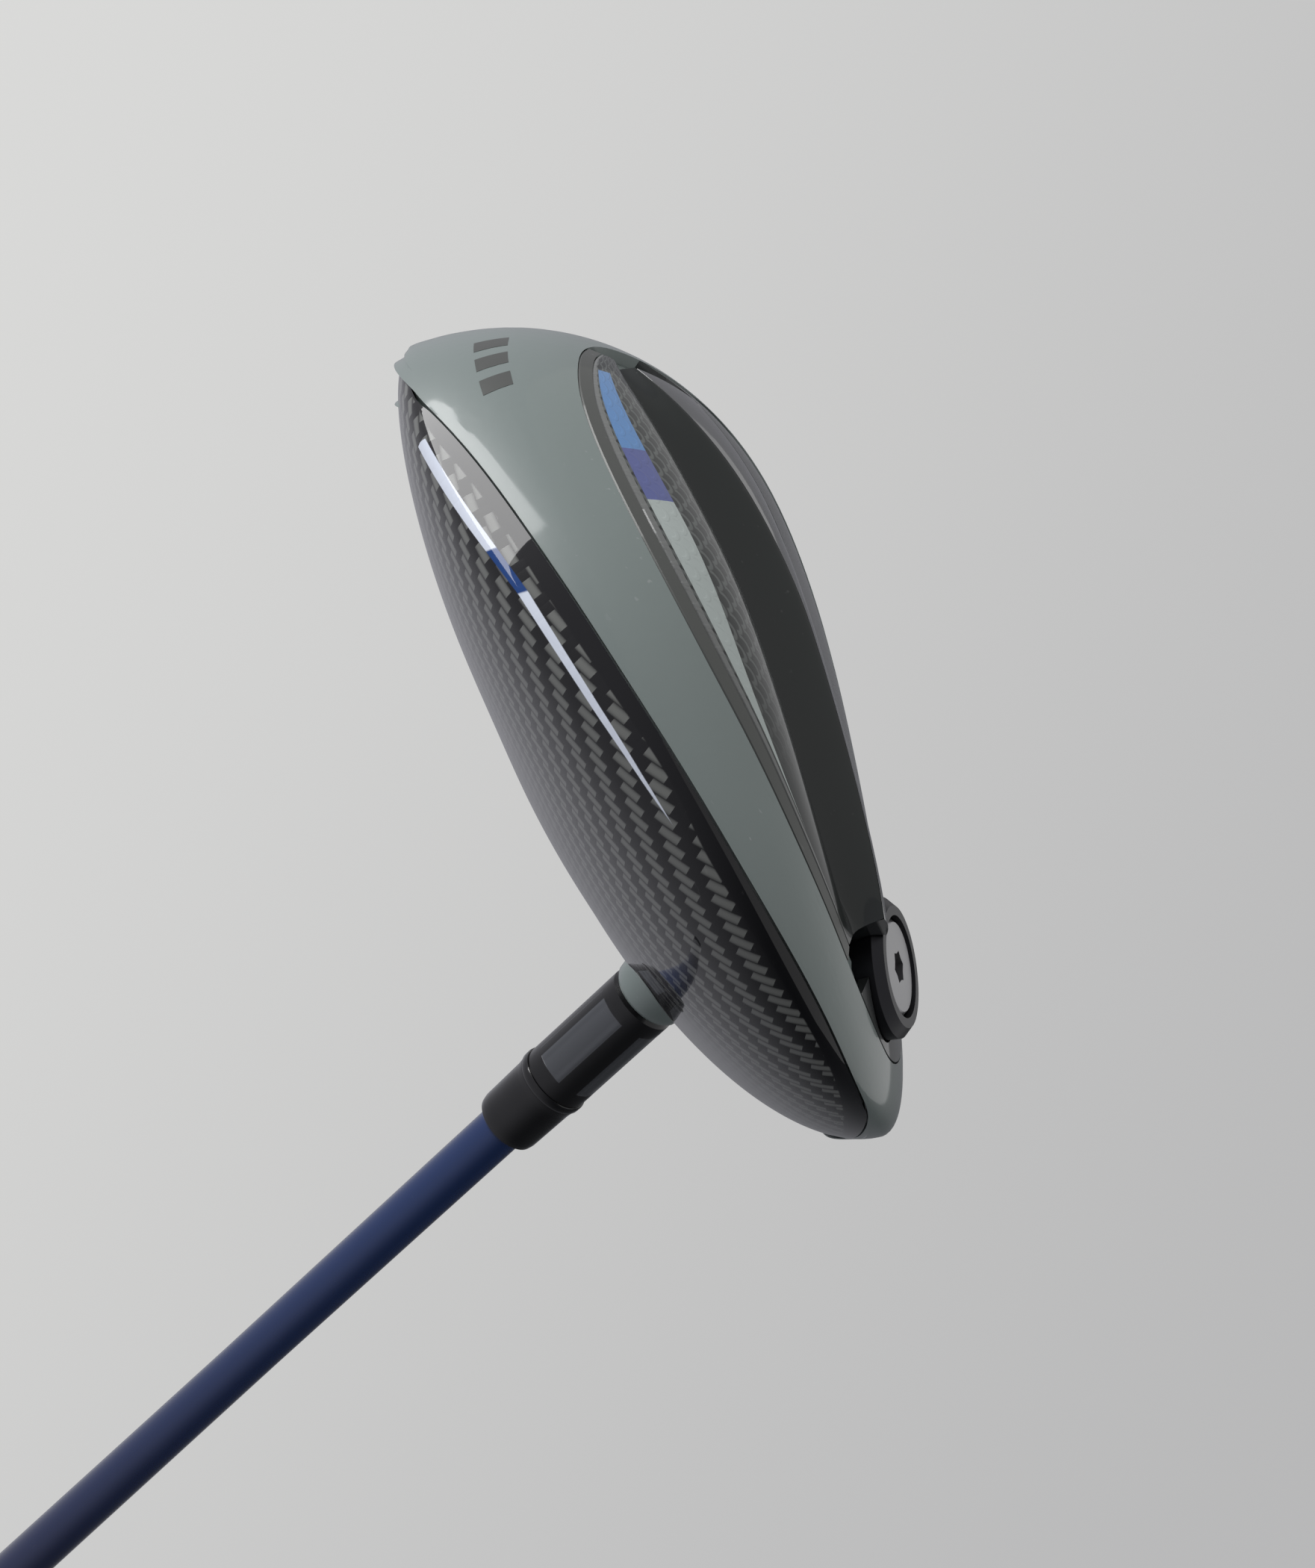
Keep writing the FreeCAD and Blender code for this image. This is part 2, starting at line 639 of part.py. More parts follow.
def turned(label, pts, placement=ON_AXIS, star=None):
    """Revolved body on the shaft axis; star is (height, depth) of a wrench socket."""
    body = doc.addObject("PartDesign::Body", label)
    body.Label = label
    sk = outline_sketch(body, label + "_profile", "XZ_Plane", pts)
    rev = body.newObject("PartDesign::Revolution", label + "_turn")
    rev.Profile = sk
    rev.ReferenceAxis = (sk, ["V_Axis"])
    rev.Angle = 360.0
    if star is not None:
        at, r = star, q("socket_r")
        corners = []
        for i in range(12):
            a = math.pi * i / 6
            rr = r * (1.0 if i % 2 == 0 else 0.78)
            corners.append((rr * round(math.cos(a), 6), rr * round(math.sin(a), 6)))
        s2 = outline_sketch(body, label + "_star", "XY_Plane", corners, at)
        pocket = body.newObject("PartDesign::Pocket", label + "_socket")
        pocket.Profile = s2
        pocket.Length = VALUES["socket_depth"]
        pocket.setExpression("Length", "sizes.socket_depth")
        pocket.Reversed = True
    body.Placement = placement
    pieces.append(body)
    return body


ZERO = Q(0)
TOP, SEAT = q("hosel_top"), q("hosel_seat")
WEB = SEAT + q("web_wall")
bore_r = q("hosel_bore") / 2
barrel_r = bore_r - q("sleeve_fit")
sl_r = q("sleeve_od") / 2
tip_r = q("shaft_tip_d") / 2
bolt_r = q("bolt_d") / 2
S0 = WEB + 1.4
S1 = TOP + q("sleeve_gap")
S2 = TOP + q("sleeve_visible")
S3 = S2 + q("ferrule_len")
END = q("club_length")
hole = tip_r + 0.05

turned("loft_sleeve", [(bolt_r + 0.05, S0), (barrel_r - 0.5, S0), (barrel_r, S0 + 0.5),
                       (barrel_r, S1), (sl_r - 0.5, S1), (sl_r, S1 + 0.6), (sl_r, S2),
                       (hole, S2), (hole, S0 + 17), (bolt_r + 0.05, S0 + 16)])
turned("ferrule", [(hole, S2 + 1.75), (sl_r + 0.12, S2 + 1.75), (sl_r - 0.1, S2 + 3.2),
                   (sl_r - 0.25, S3 - 1.8), (sl_r - 0.45, S3 - 0.8), (sl_r - 1.3, S3),
                   (hole, S3)])
turned("ferrule_collar", [(hole, S2 + 0.05), (sl_r + 0.2, S2 + 0.05), (sl_r + 0.32, S2 + 0.4),
                          (sl_r + 0.3, S2 + 1.4), (sl_r + 0.12, S2 + 1.7), (hole, S2 + 1.7)])
butt_r = q("shaft_butt_d") / 2
TIP = S0 + 19
LONG = Q(170)
turned("shaft", [(tip_r - q("shaft_wall_tip"), TIP), (tip_r, TIP), (tip_r, LONG),
                 (tip_r + (butt_r - tip_r) * 0.42, LONG + 260), (butt_r, END - 200),
                 (butt_r, END - 4.4), (butt_r - q("shaft_wall_butt"), END - 4.4),
                 (butt_r - q("shaft_wall_butt"), END - 200),
                 (tip_r - q("shaft_wall_tip") + (butt_r - tip_r) * 0.42, LONG + 260),
                 (tip_r - q("shaft_wall_tip"), LONG)])
plug_r = tip_r - q("shaft_wall_tip") - 0.05
turned("tip_plug", [(ZERO, TIP + 1), (plug_r, TIP + 1), (plug_r, TIP + 16), (ZERO, TIP + 16)])
G0 = END - q("grip_len")
tape_i = butt_r + 0.05
tape_o = tape_i + q("tape_wall")
# the shaft is parallel under the grip's upper half and tapers below it
mid_r = tip_r + (butt_r - tip_r) * 0.42
slope = (butt_r - mid_r) / (END - 200 - (LONG + 260))


def shaft_r_at(z):
    """Shaft radius on the long taper."""
    return mid_r + slope * (z - (LONG + 260))


tl = shaft_r_at(G0 + 4)
turned("grip_tape", [(tl + 0.05, G0 + 4), (tl + 0.05 + q("tape_wall"), G0 + 4),
                     (tape_o, END - 200), (tape_o, END - 5), (tape_i, END - 5),
                     (tape_i, END - 200)])
gi = shaft_r_at(G0)
over = q("tape_wall") + 0.1
mouth_r, gb = q("grip_mouth_d") / 2, q("grip_butt_d") / 2
turned("grip", [(gi + over, G0), (mouth_r - 0.8, G0), (mouth_r, G0 + 1.2), (mouth_r, G0 + 5),
                (mouth_r + 0.5, G0 + 60), (mouth_r + 1.3, G0 + 130), (mouth_r + 2.2, G0 + 200),
                (gb - 0.4, END - 14), (gb, END - 7), (gb - 0.2, END - 3), (gb - 1.4, END - 1.0),
                (gb - 3.0, END - 1.0), (gb - 3.0, END - 4.3), (butt_r + over, END - 4.3),
                (butt_r + over, END - 200)])
vent = q("vent_d") / 2
turned("grip_cap", [(vent, END - 4.2), (gb - 3.1, END - 4.2), (gb - 3.1, END - 0.9),
                    (gb - 5.0, END - 0.2), (vent + 1.5, END), (vent, END)])
bh = q("bolt_head_d") / 2
W0 = SEAT - 1.5
turned("hosel_bolt", [(ZERO, W0 - 0.1 - q("bolt_head_h")), (bh - 0.5, W0 - 0.1 - q("bolt_head_h")),
                      (bh, W0 - 0.1 - q("bolt_head_h") + 0.5), (bh, W0 - 0.1),
                      (bolt_r, W0 - 0.1), (bolt_r, S0 + 13), (bolt_r - 0.6, S0 + 14),
                      (ZERO, S0 + 14)], star=W0 - 0.1 - q("bolt_head_h"))
turned("bolt_washer", [(bolt_r + 0.35, W0), (bh + 0.1, W0), (bh + 0.1, SEAT - 0.1),
                       (bolt_r + 0.35, SEAT - 0.1)])
turned("bolt_retainer", [(bolt_r + 0.05, WEB + 0.15), (barrel_r - 0.4, WEB + 0.15),
                         (barrel_r - 0.4, WEB + 1.0), (bolt_r + 0.05, WEB + 1.0)])
w_r, w_h, t_r = q("weight_d") / 2, q("weight_h"), q("weight_thread_d") / 2
turned("rear_weight", [(ZERO, Q(0.3)), (w_r - 0.6, Q(0.3)), (w_r, Q(0.9)), (w_r, w_h),
                       (t_r, w_h), (t_r, w_h + q("weight_thread_l") - 1.2),
                       (t_r - 0.5, w_h + q("weight_thread_l") - 0.7),
                       (ZERO, w_h + q("weight_thread_l") - 0.7)], HOUSE, star=Q(0.3))
turned("weight_seal", [(t_r + 0.1, w_h + 0.05), (w_r - 0.3, w_h + 0.05), (w_r - 0.3, w_h + 0.75),
                       (t_r + 0.1, w_h + 0.75)], HOUSE)

# ---- check and write -------------------------------------------------------------
doc.recompute()
for o in doc.Objects:
    if "Invalid" in o.State or "Error" in o.State:
        raise RuntimeError("%s does not compute" % o.Name)
os.makedirs("parts", exist_ok=True)
for p in pieces:
    if p.Shape.isNull() or not p.Shape.isValid() or len(p.Shape.Solids) != 1:
        raise RuntimeError("%s is not one valid solid" % p.Label)
    p.Shape.exportStep("parts/%s.step" % p.Label)
    print(p.Label, round(p.Shape.Volume))
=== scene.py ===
"""Golf driver: head, adjustable sleeve, shaft and grip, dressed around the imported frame."""

import json
import logging
import math
from dataclasses import dataclass, field
from enum import Enum
from typing import Callable, Optional

import bpy
import numpy as np
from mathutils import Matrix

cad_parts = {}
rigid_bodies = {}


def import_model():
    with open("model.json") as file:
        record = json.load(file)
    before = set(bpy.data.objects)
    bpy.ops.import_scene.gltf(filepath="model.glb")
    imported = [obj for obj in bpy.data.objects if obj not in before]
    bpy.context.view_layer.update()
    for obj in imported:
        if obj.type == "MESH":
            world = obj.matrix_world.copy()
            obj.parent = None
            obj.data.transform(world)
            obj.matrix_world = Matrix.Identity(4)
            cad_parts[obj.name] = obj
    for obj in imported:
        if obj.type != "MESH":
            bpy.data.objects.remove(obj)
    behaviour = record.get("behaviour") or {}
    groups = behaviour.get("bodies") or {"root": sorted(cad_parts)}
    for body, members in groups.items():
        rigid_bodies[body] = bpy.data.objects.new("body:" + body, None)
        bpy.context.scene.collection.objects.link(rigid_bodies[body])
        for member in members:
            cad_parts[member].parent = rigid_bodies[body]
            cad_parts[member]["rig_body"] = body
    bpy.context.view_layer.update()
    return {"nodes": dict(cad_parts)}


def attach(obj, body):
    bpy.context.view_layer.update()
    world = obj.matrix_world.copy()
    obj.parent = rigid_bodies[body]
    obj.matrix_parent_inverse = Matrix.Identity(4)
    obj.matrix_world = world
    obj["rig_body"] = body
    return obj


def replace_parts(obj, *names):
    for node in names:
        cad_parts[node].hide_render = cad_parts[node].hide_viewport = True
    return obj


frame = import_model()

LOG = logging.getLogger("driver")
MM = 0.001
LIE = math.radians(59.7)
AXIS = np.array([-math.cos(LIE), 0.0, math.sin(LIE)])
SIDE = np.array([math.sin(LIE), 0.0, math.cos(LIE)])


class Ends(Enum):
    """How the rows of a turned or wrapped surface finish."""

    POLES = "poles"
    RING = "ring"


# ---------------------------------------------------------------------------- meshes
def put_mesh(name: str, points: np.ndarray, faces: list, body: str, sharp_deg: float = 32.0,
             attributes: Optional[dict[str, np.ndarray]] = None) -> bpy.types.Object:
    """Make one piece from points in millimetres.

    Args:
        name: piece name.
        points: (n, 3) points.
        faces: lists of corner numbers.
        body: CAD body that the piece rides on.
        sharp_deg: angle above which an edge stays sharp.
        attributes: values per point, (n,) or (n, 3).

    Returns:
        The new object, with its faces pointing outwards.
    """
    fan = np.array([(f[0], f[i], f[i + 1]) for f in faces for i in range(1, len(f) - 1)])
    a, b, c = points[fan[:, 0]], points[fan[:, 1]], points[fan[:, 2]]
    if np.einsum("ij,ij->i", a, np.cross(b, c)).sum() < 0:
        faces = [tuple(reversed(f)) for f in faces]
    mesh = bpy.data.meshes.new(name)
    mesh.from_pydata((points * MM).tolist(), [], faces)
    mesh.update()
    mesh.shade_smooth()
    mesh.set_sharp_from_angle(angle=math.radians(sharp_deg))
    for key, values in (attributes or {}).items():
        kind = "FLOAT_VECTOR" if values.ndim == 2 else "FLOAT"
        layer = mesh.attributes.new(key, kind, "POINT")
        layer.data.foreach_set("vector" if values.ndim == 2 else "value",
                               values.astype(np.float32).ravel())
    obj = bpy.data.objects.new(name, mesh)
    bpy.context.scene.collection.objects.link(obj)
    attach(obj, body)
    return obj


def wrapped(rows: np.ndarray, ends: Ends) -> tuple[np.ndarray, list, Callable]:
    """Join rows of points that close on themselves round the piece.

    Args:
        rows: (r, n, 3) points, each row a closed ring.
        ends: whether the first and last rows are single points or join each other.

    Returns:
        Points, faces, and a function that packs per-point values the same way.
    """
    r, n = rows.shape[:2]
    j = np.arange(n)
    k = (j + 1) % n
    if ends is Ends.RING:
        i = np.arange(r)[:, None]
        m = (i + 1) % r
        quads = np.stack([i * n + j, i * n + k, m * n + k, m * n + j], -1).reshape(-1, 4)
        return rows.reshape(-1, 3), quads.tolist(), lambda v: v.reshape((r * n,) + v.shape[2:])
    i = np.arange(r - 3)[:, None]
    quads = np.stack([i * n + j, i * n + k, (i + 1) * n + k, (i + 1) * n + j], -1).reshape(-1, 4)
    first, last = (r - 2) * n, (r - 2) * n + 1
    base = (r - 3) * n
    faces = quads.tolist()
    faces += np.stack([np.full(n, first), k, j], -1).tolist()
    faces += np.stack([np.full(n, last), base + j, base + k], -1).tolist()

    def pack(v: np.ndarray) -> np.ndarray:
        """Inner rows, then the two poles."""
        flat = v[1:-1].reshape((-1,) + v.shape[2:])
        return np.concatenate([flat, v[0, :1], v[-1, :1]])

    return pack(rows), faces, pack


def slab(lower: np.ndarray, upper: np.ndarray) -> tuple[np.ndarray, list]:
    """Close the space between two open grids of the same size.

    Args:
        lower: (r, c, 3) points.
        upper: (r, c, 3) points.

    Returns:
        Points and faces of a closed piece.
    """
    r, c = lower.shape[:2]
    points = np.concatenate([lower, upper[::-1]]).reshape(-1, 3)
    i, j = np.arange(2 * r)[:, None], np.arange(c - 1)
    m = (i + 1) % (2 * r)
    faces = np.stack([i * c + j, i * c + j + 1, m * c + j + 1, m * c + j], -1)
    faces = faces.reshape(-1, 4).tolist()
    q = np.arange(r - 1)
    opposite = 2 * r - 1 - q
    left = np.stack([q * c, (q + 1) * c, (opposite - 1) * c, opposite * c], -1)
    faces += left.tolist() + (left[:, ::-1] + c - 1).tolist()
    return points, faces


def turned(name: str, profile: list[tuple[float, float]], body: str, around: int = 96,
           wobble: Optional[Callable[[np.ndarray, np.ndarray], np.ndarray]] = None
           ) -> bpy.types.Object:
    """Carry a closed profile round the shaft axis.

    A point is axis*height + radius*(side*cos + y*sin) of its turn.

    Args:
        name: piece name.
        profile: (radius, height) corners, in order.
        body: CAD body.
        around: points in a turn.
        wobble: change of radius from turn and height.

    Returns:
        The new object, with its turn, height and radius as an attribute.
    """
    pr = np.array(profile)
    turn = np.linspace(0, 2 * math.pi, around, endpoint=False)[None, :]
    rad, high = pr[:, :1] + 0 * turn, pr[:, 1:] + 0 * turn
    if wobble is not None:
        rad = rad + wobble(turn, high)
    rows = (AXIS * high[..., None] + SIDE * (rad * np.cos(turn))[..., None]
            + np.array([0, 1.0, 0]) * (rad * np.sin(turn))[..., None])
    points, faces, pack = wrapped(rows, Ends.RING)
    return put_mesh(name, points, faces, body, attributes={"turn": pack(np.stack(
        [turn + 0 * high, high, rad], -1))})


def smooth_copy(node: str) -> bpy.types.Object:
    """Merged, smooth-shaded copy of a CAD node, standing for that node.

    Args:
        node: CAD node's name.

    Returns:
        The copy, riding on the node's own body.
    """
    src = frame["nodes"][node]
    n = len(src.data.vertices)
    co = np.empty(n * 3)
    src.data.vertices.foreach_get("co", co)
    co = co.reshape(-1, 3)
    _, first, back = np.unique(np.round(co, 7), axis=0, return_index=True, return_inverse=True)
    tri = np.empty(len(src.data.loops), int)
    src.data.loops.foreach_get("vertex_index", tri)
    tri = back.ravel()[tri].reshape(-1, 3)
    keep = (tri[:, 0] != tri[:, 1]) & (tri[:, 1] != tri[:, 2]) & (tri[:, 0] != tri[:, 2])
    obj = put_mesh(node + "_skin", co[first] / MM, tri[keep].tolist(), src["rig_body"])
    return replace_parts(obj, node)


# ---------------------------------------------------------------------------- head form
def bell(turn: np.ndarray, centre: float, width: float) -> np.ndarray:
    """exp of minus the square of (angle from the centre over the width)."""
    d = (turn - centre + math.pi) % (2 * math.pi) - math.pi
    return np.exp(-((d / width) ** 2))


def closed_curve(stations: list[tuple[float, float]]) -> Callable[[np.ndarray], np.ndarray]:
    """Periodic cubic through stations, with slopes from the neighbours.

    Args:
        stations: (degrees, value) pairs in any order.

    Returns:
        A function of a direction in radians.
    """
    pts = np.array(sorted(stations), float)
    deg, val = pts[:, 0], pts[:, 1]
    span = (np.roll(deg, -1) - np.roll(deg, 1)) % 360.0
    slope = (np.roll(val, -1) - np.roll(val, 1)) / span

    def value(turn: np.ndarray) -> np.ndarray:
        """Curve value.

        Args:
            turn: direction in radians.

        Returns:
            Value between the two stations beside the direction.
        """
        a = (np.degrees(turn) - deg[0]) % 360.0 + deg[0]
        i = np.clip(np.searchsorted(deg, a, side="right") - 1, 0, len(deg) - 1)
        k = (i + 1) % len(deg)
        h = (deg[k] - deg[i]) % 360.0
        t = (a - deg[i]) / h
        return ((2 * t**3 - 3 * t * t + 1) * val[i] + (t**3 - 2 * t * t + t) * slope[i] * h
                + (3 * t * t - 2 * t**3) * val[k] + (t**3 - t * t) * slope[k] * h)

    return value


@dataclass
class HeadForm:
    """Outer form of the head: an outline in plan with conic sections over and under it."""

    half_width: float = 60.3
    half_length: float = 58.7
    centre: tuple[float, float] = (30.6, -31.3)
    crown_top: tuple[float, float, float] = (29.6, 9.6, 56.9)
    sole_low: tuple[float, float, float] = (47.6, -38.4, 4.0)
    loft_run: float = 0.185
    loft_height: float = 33.0
    girth_height: tuple[float, float, float, float] = (28.5, 11.1, 10.6, 2.8)
    crown_full: tuple[float, float, float, float] = (0.401, 2.4, 0.456, 0.594)
    sole_full: tuple[float, float, float, float] = (1.02, 2.0, 0.74, 0.74)
    face_width: float = 0.62
    side_width: float = 0.75
    outline: tuple[float, ...] = (1.013, 1.062, 1.019, 0.927, 0.874, 0.948, 1.069, 1.119, 1.069,
                                  1.001, 0.970, 0.986, 0.988, 0.940, 0.921, 0.944)
    crown_seam: Callable = field(default_factory=lambda: closed_curve(
        [(-165, 0.80), (-145, 0.90), (-130, 0.96), (-111, 1.055), (-95, 1.115), (-75, 1.11),
         (-55, 1.105), (-35, 1.10), (-18, 1.075), (-5, 1.02), (7, 0.93), (20, 0.78), (36, 0.53),
         (60, 0.28), (90, 0.16), (118, 0.18), (142, 0.34), (165, 0.55)]))
    sole_seam: Callable = field(default_factory=lambda: closed_curve(
        [(-160, 1.50), (-140, 1.38), (-122, 1.31), (-106, 1.34), (-90, 1.378), (-70, 1.375),
         (-50, 1.355), (-20, 1.345), (4, 1.35), (20, 1.385), (36, 1.55), (60, 1.70), (90, 1.765),
         (120, 1.77), (148, 1.76), (172, 1.66), (185, 1.60)]))

    def girth(self, turn: np.ndarray) -> np.ndarray:
        """Widest line: a trigonometric curve through the outline's even stations.

        Its height is a mean, a cosine, a sine and a cosine of twice the turn.

        Args:
            turn: direction in plan, radians.

        Returns:
            (..., 3) points in millimetres.
        """
        mean, toe, front, twist = self.girth_height
        radius = np.zeros_like(turn, dtype=float)
        for k, r in enumerate(self.outline):
            d = turn - k * math.pi / 8
            s = np.sin(d / 2)
            flat = np.abs(s) < 1e-9
            w = np.sin(8 * d) * np.cos(d / 2) / np.where(flat, 1.0, s) / 16
            radius = radius + r * np.where(flat, 1.0, w)
        return np.stack([self.centre[0] + self.half_width * radius * np.cos(turn),
                         self.centre[1] + self.half_length * radius * np.sin(turn),
                         mean + toe * np.cos(turn) + front * np.sin(turn)
                         + twist * np.cos(2 * turn)], -1)

    def fullness(self, turn: np.ndarray, rear: float, face: float, toe: float,
                 heel: float) -> np.ndarray:
        """Conic weight round the head, blended by bells at the toe, heel and face.

        Args:
            turn: direction in plan, radians.
            rear: weight at the rear.
            face: weight at the face.
            toe: weight at the toe.
            heel: weight at the heel.

        Returns:
            Weight for each direction.
        """
        front = bell(turn, math.pi / 2, self.face_width)
        side = (rear + (toe - rear) * bell(turn, 0.0, self.side_width)
                + (heel - rear) * bell(turn, math.pi, self.side_width))
        return side * (1 - front) + face * front

    def at(self, turn: np.ndarray, s: np.ndarray, inset: float = 0.0) -> np.ndarray:
        """Point of the form, pulled in by inset.

        Each section is a rational conic from the widest line to the top or the low point, and
        the face side leans back with height.

        Args:
            turn: direction in plan, radians.
            s: 0 at the crown top, 1 at the widest line, 2 at the sole's low point.
            inset: depth below the surface, mm.

        Returns:
            (..., 3) points in millimetres.
        """
        turn, s = np.broadcast_arrays(np.asarray(turn, float), np.asarray(s, float))
        g = self.girth(turn)
        gx, gy, gz = g[..., 0] - inset * np.cos(turn), g[..., 1] - inset * np.sin(turn), g[..., 2]
        over = s <= 1
        top, low = self.crown_top, self.sole_low
        w = np.where(over, self.fullness(turn, *self.crown_full),
                     self.fullness(turn, *self.sole_full))
        px = np.where(over, top[0], low[0])
        py = np.where(over, top[1] - inset, low[1])
        pz = np.where(over, top[2] - inset, low[2] + inset)
        t = np.where(over, s, 2 - s)
        m = 2 * w * t * (1 - t)
        den = (1 - t) ** 2 + m + t * t
        u, v = (m + t * t) / den, ((1 - t) ** 2 + m) / den
        z = gz + (pz - gz) * v
        y = py + (gy - py) * u
        y = y - self.loft_run * (z - self.loft_height) * bell(turn, math.pi / 2, 1.0) * u * u
        return np.stack([px + (gx - px) * u, y, z], -1)

    def moved_seam(self, turn: np.ndarray, seam: Callable, gap: float,
                   toward: float) -> np.ndarray:
        """A seam moved along the surface.

        Args:
            turn: direction in plan, radians.
            seam: section value of the seam against direction.
            gap: distance to move, mm.
            toward: 1 to the sole, -1 to the crown.

        Returns:
            Section value for each direction.
        """
        s, e = seam(turn), 0.02 * toward
        step = np.linalg.norm(self.at(turn, s) - self.at(turn, s + e), axis=-1)
        return s + gap * e / step

    def sole_height(self, xy: np.ndarray) -> np.ndarray:
        """Height of the sole over plan points, by halving the section parameter.

        Args:
            xy: (..., 2) plan points, mm.

        Returns:
            Height for each point, mm.
        """
        line = np.radians(np.arange(-180, 181))
        g = self.girth(line)
        low = np.array(self.sole_low)
        bearing = np.unwrap(np.arctan2(g[:, 1] - low[1], g[:, 0] - low[0]))
        d = xy - low[:2]
        a = np.arctan2(d[..., 1], d[..., 0])
        a = (a - bearing[0]) % (2 * math.pi) + bearing[0]
        turn = np.interp(a, bearing, line)
        edge = self.girth(turn)
        u = np.linalg.norm(d, axis=-1) / np.linalg.norm(edge[..., :2] - low[:2], axis=-1)
        w = self.fullness(turn, *self.sole_full)
        lo, hi = np.zeros_like(u), np.ones_like(u)
        for _ in range(34):
            t = (lo + hi) / 2
            m = 2 * w * t * (1 - t)
            less = (m + t * t) / ((1 - t) ** 2 + m + t * t) < u
            lo, hi = np.where(less, t, lo), np.where(less, hi, t)
        m = 2 * w * t * (1 - t)
        v = ((1 - t) ** 2 + m) / ((1 - t) ** 2 + m + t * t)
        return edge[..., 2] + (low[2] - edge[..., 2]) * v


# ---------------------------------------------------------------------------- node helpers
class Nodes:
    """Short way to place and join shader nodes in one tree."""

    def __init__(self, tree: bpy.types.NodeTree) -> None:
        """Keep the tree."""
        self.tree = tree

    def add(self, kind: str, **values: object) -> bpy.types.Node:
        """New node with its properties set.

        Args:
            kind: Blender's node type.
            **values: properties by name.

        Returns:
            The node.
        """
        node = self.tree.nodes.new(kind)
        for key, value in values.items():
            setattr(node, key, value)
        return node

    def feed(self, socket: bpy.types.NodeSocket, value: object) -> None:
        """Link a socket or set a plain value.

        Args:
            socket: input to fill.
            value: output socket, or the plain value.
        """
        if isinstance(value, bpy.types.NodeSocket):
            self.tree.links.new(value, socket)
        else:
            socket.default_value = value

    def math(self, kind: str, *values: object) -> bpy.types.NodeSocket:
        """One arithmetic step.

        Args:
            kind: operation of the Math node.
            *values: sockets or numbers, in order.

        Returns:
            The result's socket.
        """
        node = self.add("ShaderNodeMath", operation=kind)
        for socket, value in zip(node.inputs, values):
            self.feed(socket, value)
        return node.outputs[0]

    def mix(self, factor: object, a: object, b: object) -> bpy.types.NodeSocket:
        """Blend of two colours.

        Args:
            factor: 0 for the first, 1 for the second.
            a: first colour.
            b: second colour.

        Returns:
            The colour's socket.
        """
        node = self.add("ShaderNodeMix", data_type="RGBA")
        for index, value in ((0, factor), (6, a), (7, b)):
            self.feed(node.inputs[index], value)
        return node.outputs[2]

    def ramp(self, value: object, low: float, high: float, to_low: float = 0.0,
             to_high: float = 1.0) -> bpy.types.NodeSocket:
        """Smooth step from one range to another.

        Args:
            value: number or socket.
            low: value that gives to_low.
            high: value that gives to_high.
            to_low: result at low.
            to_high: result at high.

        Returns:
            The result's socket.
        """
        node = self.add("ShaderNodeMapRange", interpolation_type="SMOOTHSTEP")
        for index, item in enumerate((value, low, high, to_low, to_high)):
            self.feed(node.inputs[index], item)
        return node.outputs[0]

    def noise(self, vector: object, scale: float, detail: float = 3.0) -> bpy.types.NodeSocket:
        """Noise value.

        Args:
            vector: place.
            scale: waves per unit.
            detail: octaves.

        Returns:
            The value's socket.
        """
        node = self.add("ShaderNodeTexNoise")
        self.feed(node.inputs["Vector"], vector)
        node.inputs["Scale"].default_value = scale
        node.inputs["Detail"].default_value = detail
        return node.outputs[0]

    def scaled(self, vector: object, by: tuple[float, float, float],
               turn: tuple[float, float, float] = (0, 0, 0)) -> bpy.types.NodeSocket:
        """Vector turned and stretched.

        Args:
            vector: place.
            by: factor along each axis.
            turn: angles in radians.

        Returns:
            The vector's socket.
        """
        node = self.add("ShaderNodeMapping")
        self.feed(node.inputs["Vector"], vector)
        node.inputs["Scale"].default_value = by
        node.inputs["Rotation"].default_value = turn
        return node.outputs[0]

    def place(self) -> bpy.types.NodeSocket:
        """Object coordinates."""
        return self.add("ShaderNodeTexCoord").outputs["Object"]

    def value(self, name: str) -> bpy.types.Node:
        """Attribute of the mesh."""
        return self.add("ShaderNodeAttribute", attribute_name=name)


def group(name: str, inputs: list[tuple[str, str, object]], outputs: list[str]
          ) -> tuple[Nodes, dict, dict]:
    """Empty node group with named sockets.

    Args:
        name: group name.
        inputs: (name, socket type, default).
        outputs: names of value outputs.

    Returns:
        Node helper, input sockets by name, output sockets by name.
    """
    tree = bpy.data.node_groups.new(name, "ShaderNodeTree")
    for label, kind, default in inputs:
        socket = tree.interface.new_socket(label, in_out="INPUT", socket_type=kind)
        if default is not None:
            socket.default_value = default
    for label in outputs:
        tree.interface.new_socket(label, in_out="OUTPUT", socket_type="NodeSocketFloat")
    n = Nodes(tree)
    start, end = n.add("NodeGroupInput"), n.add("NodeGroupOutput")
    return n, {s.name: s for s in start.outputs}, {s.name: s for s in end.inputs}


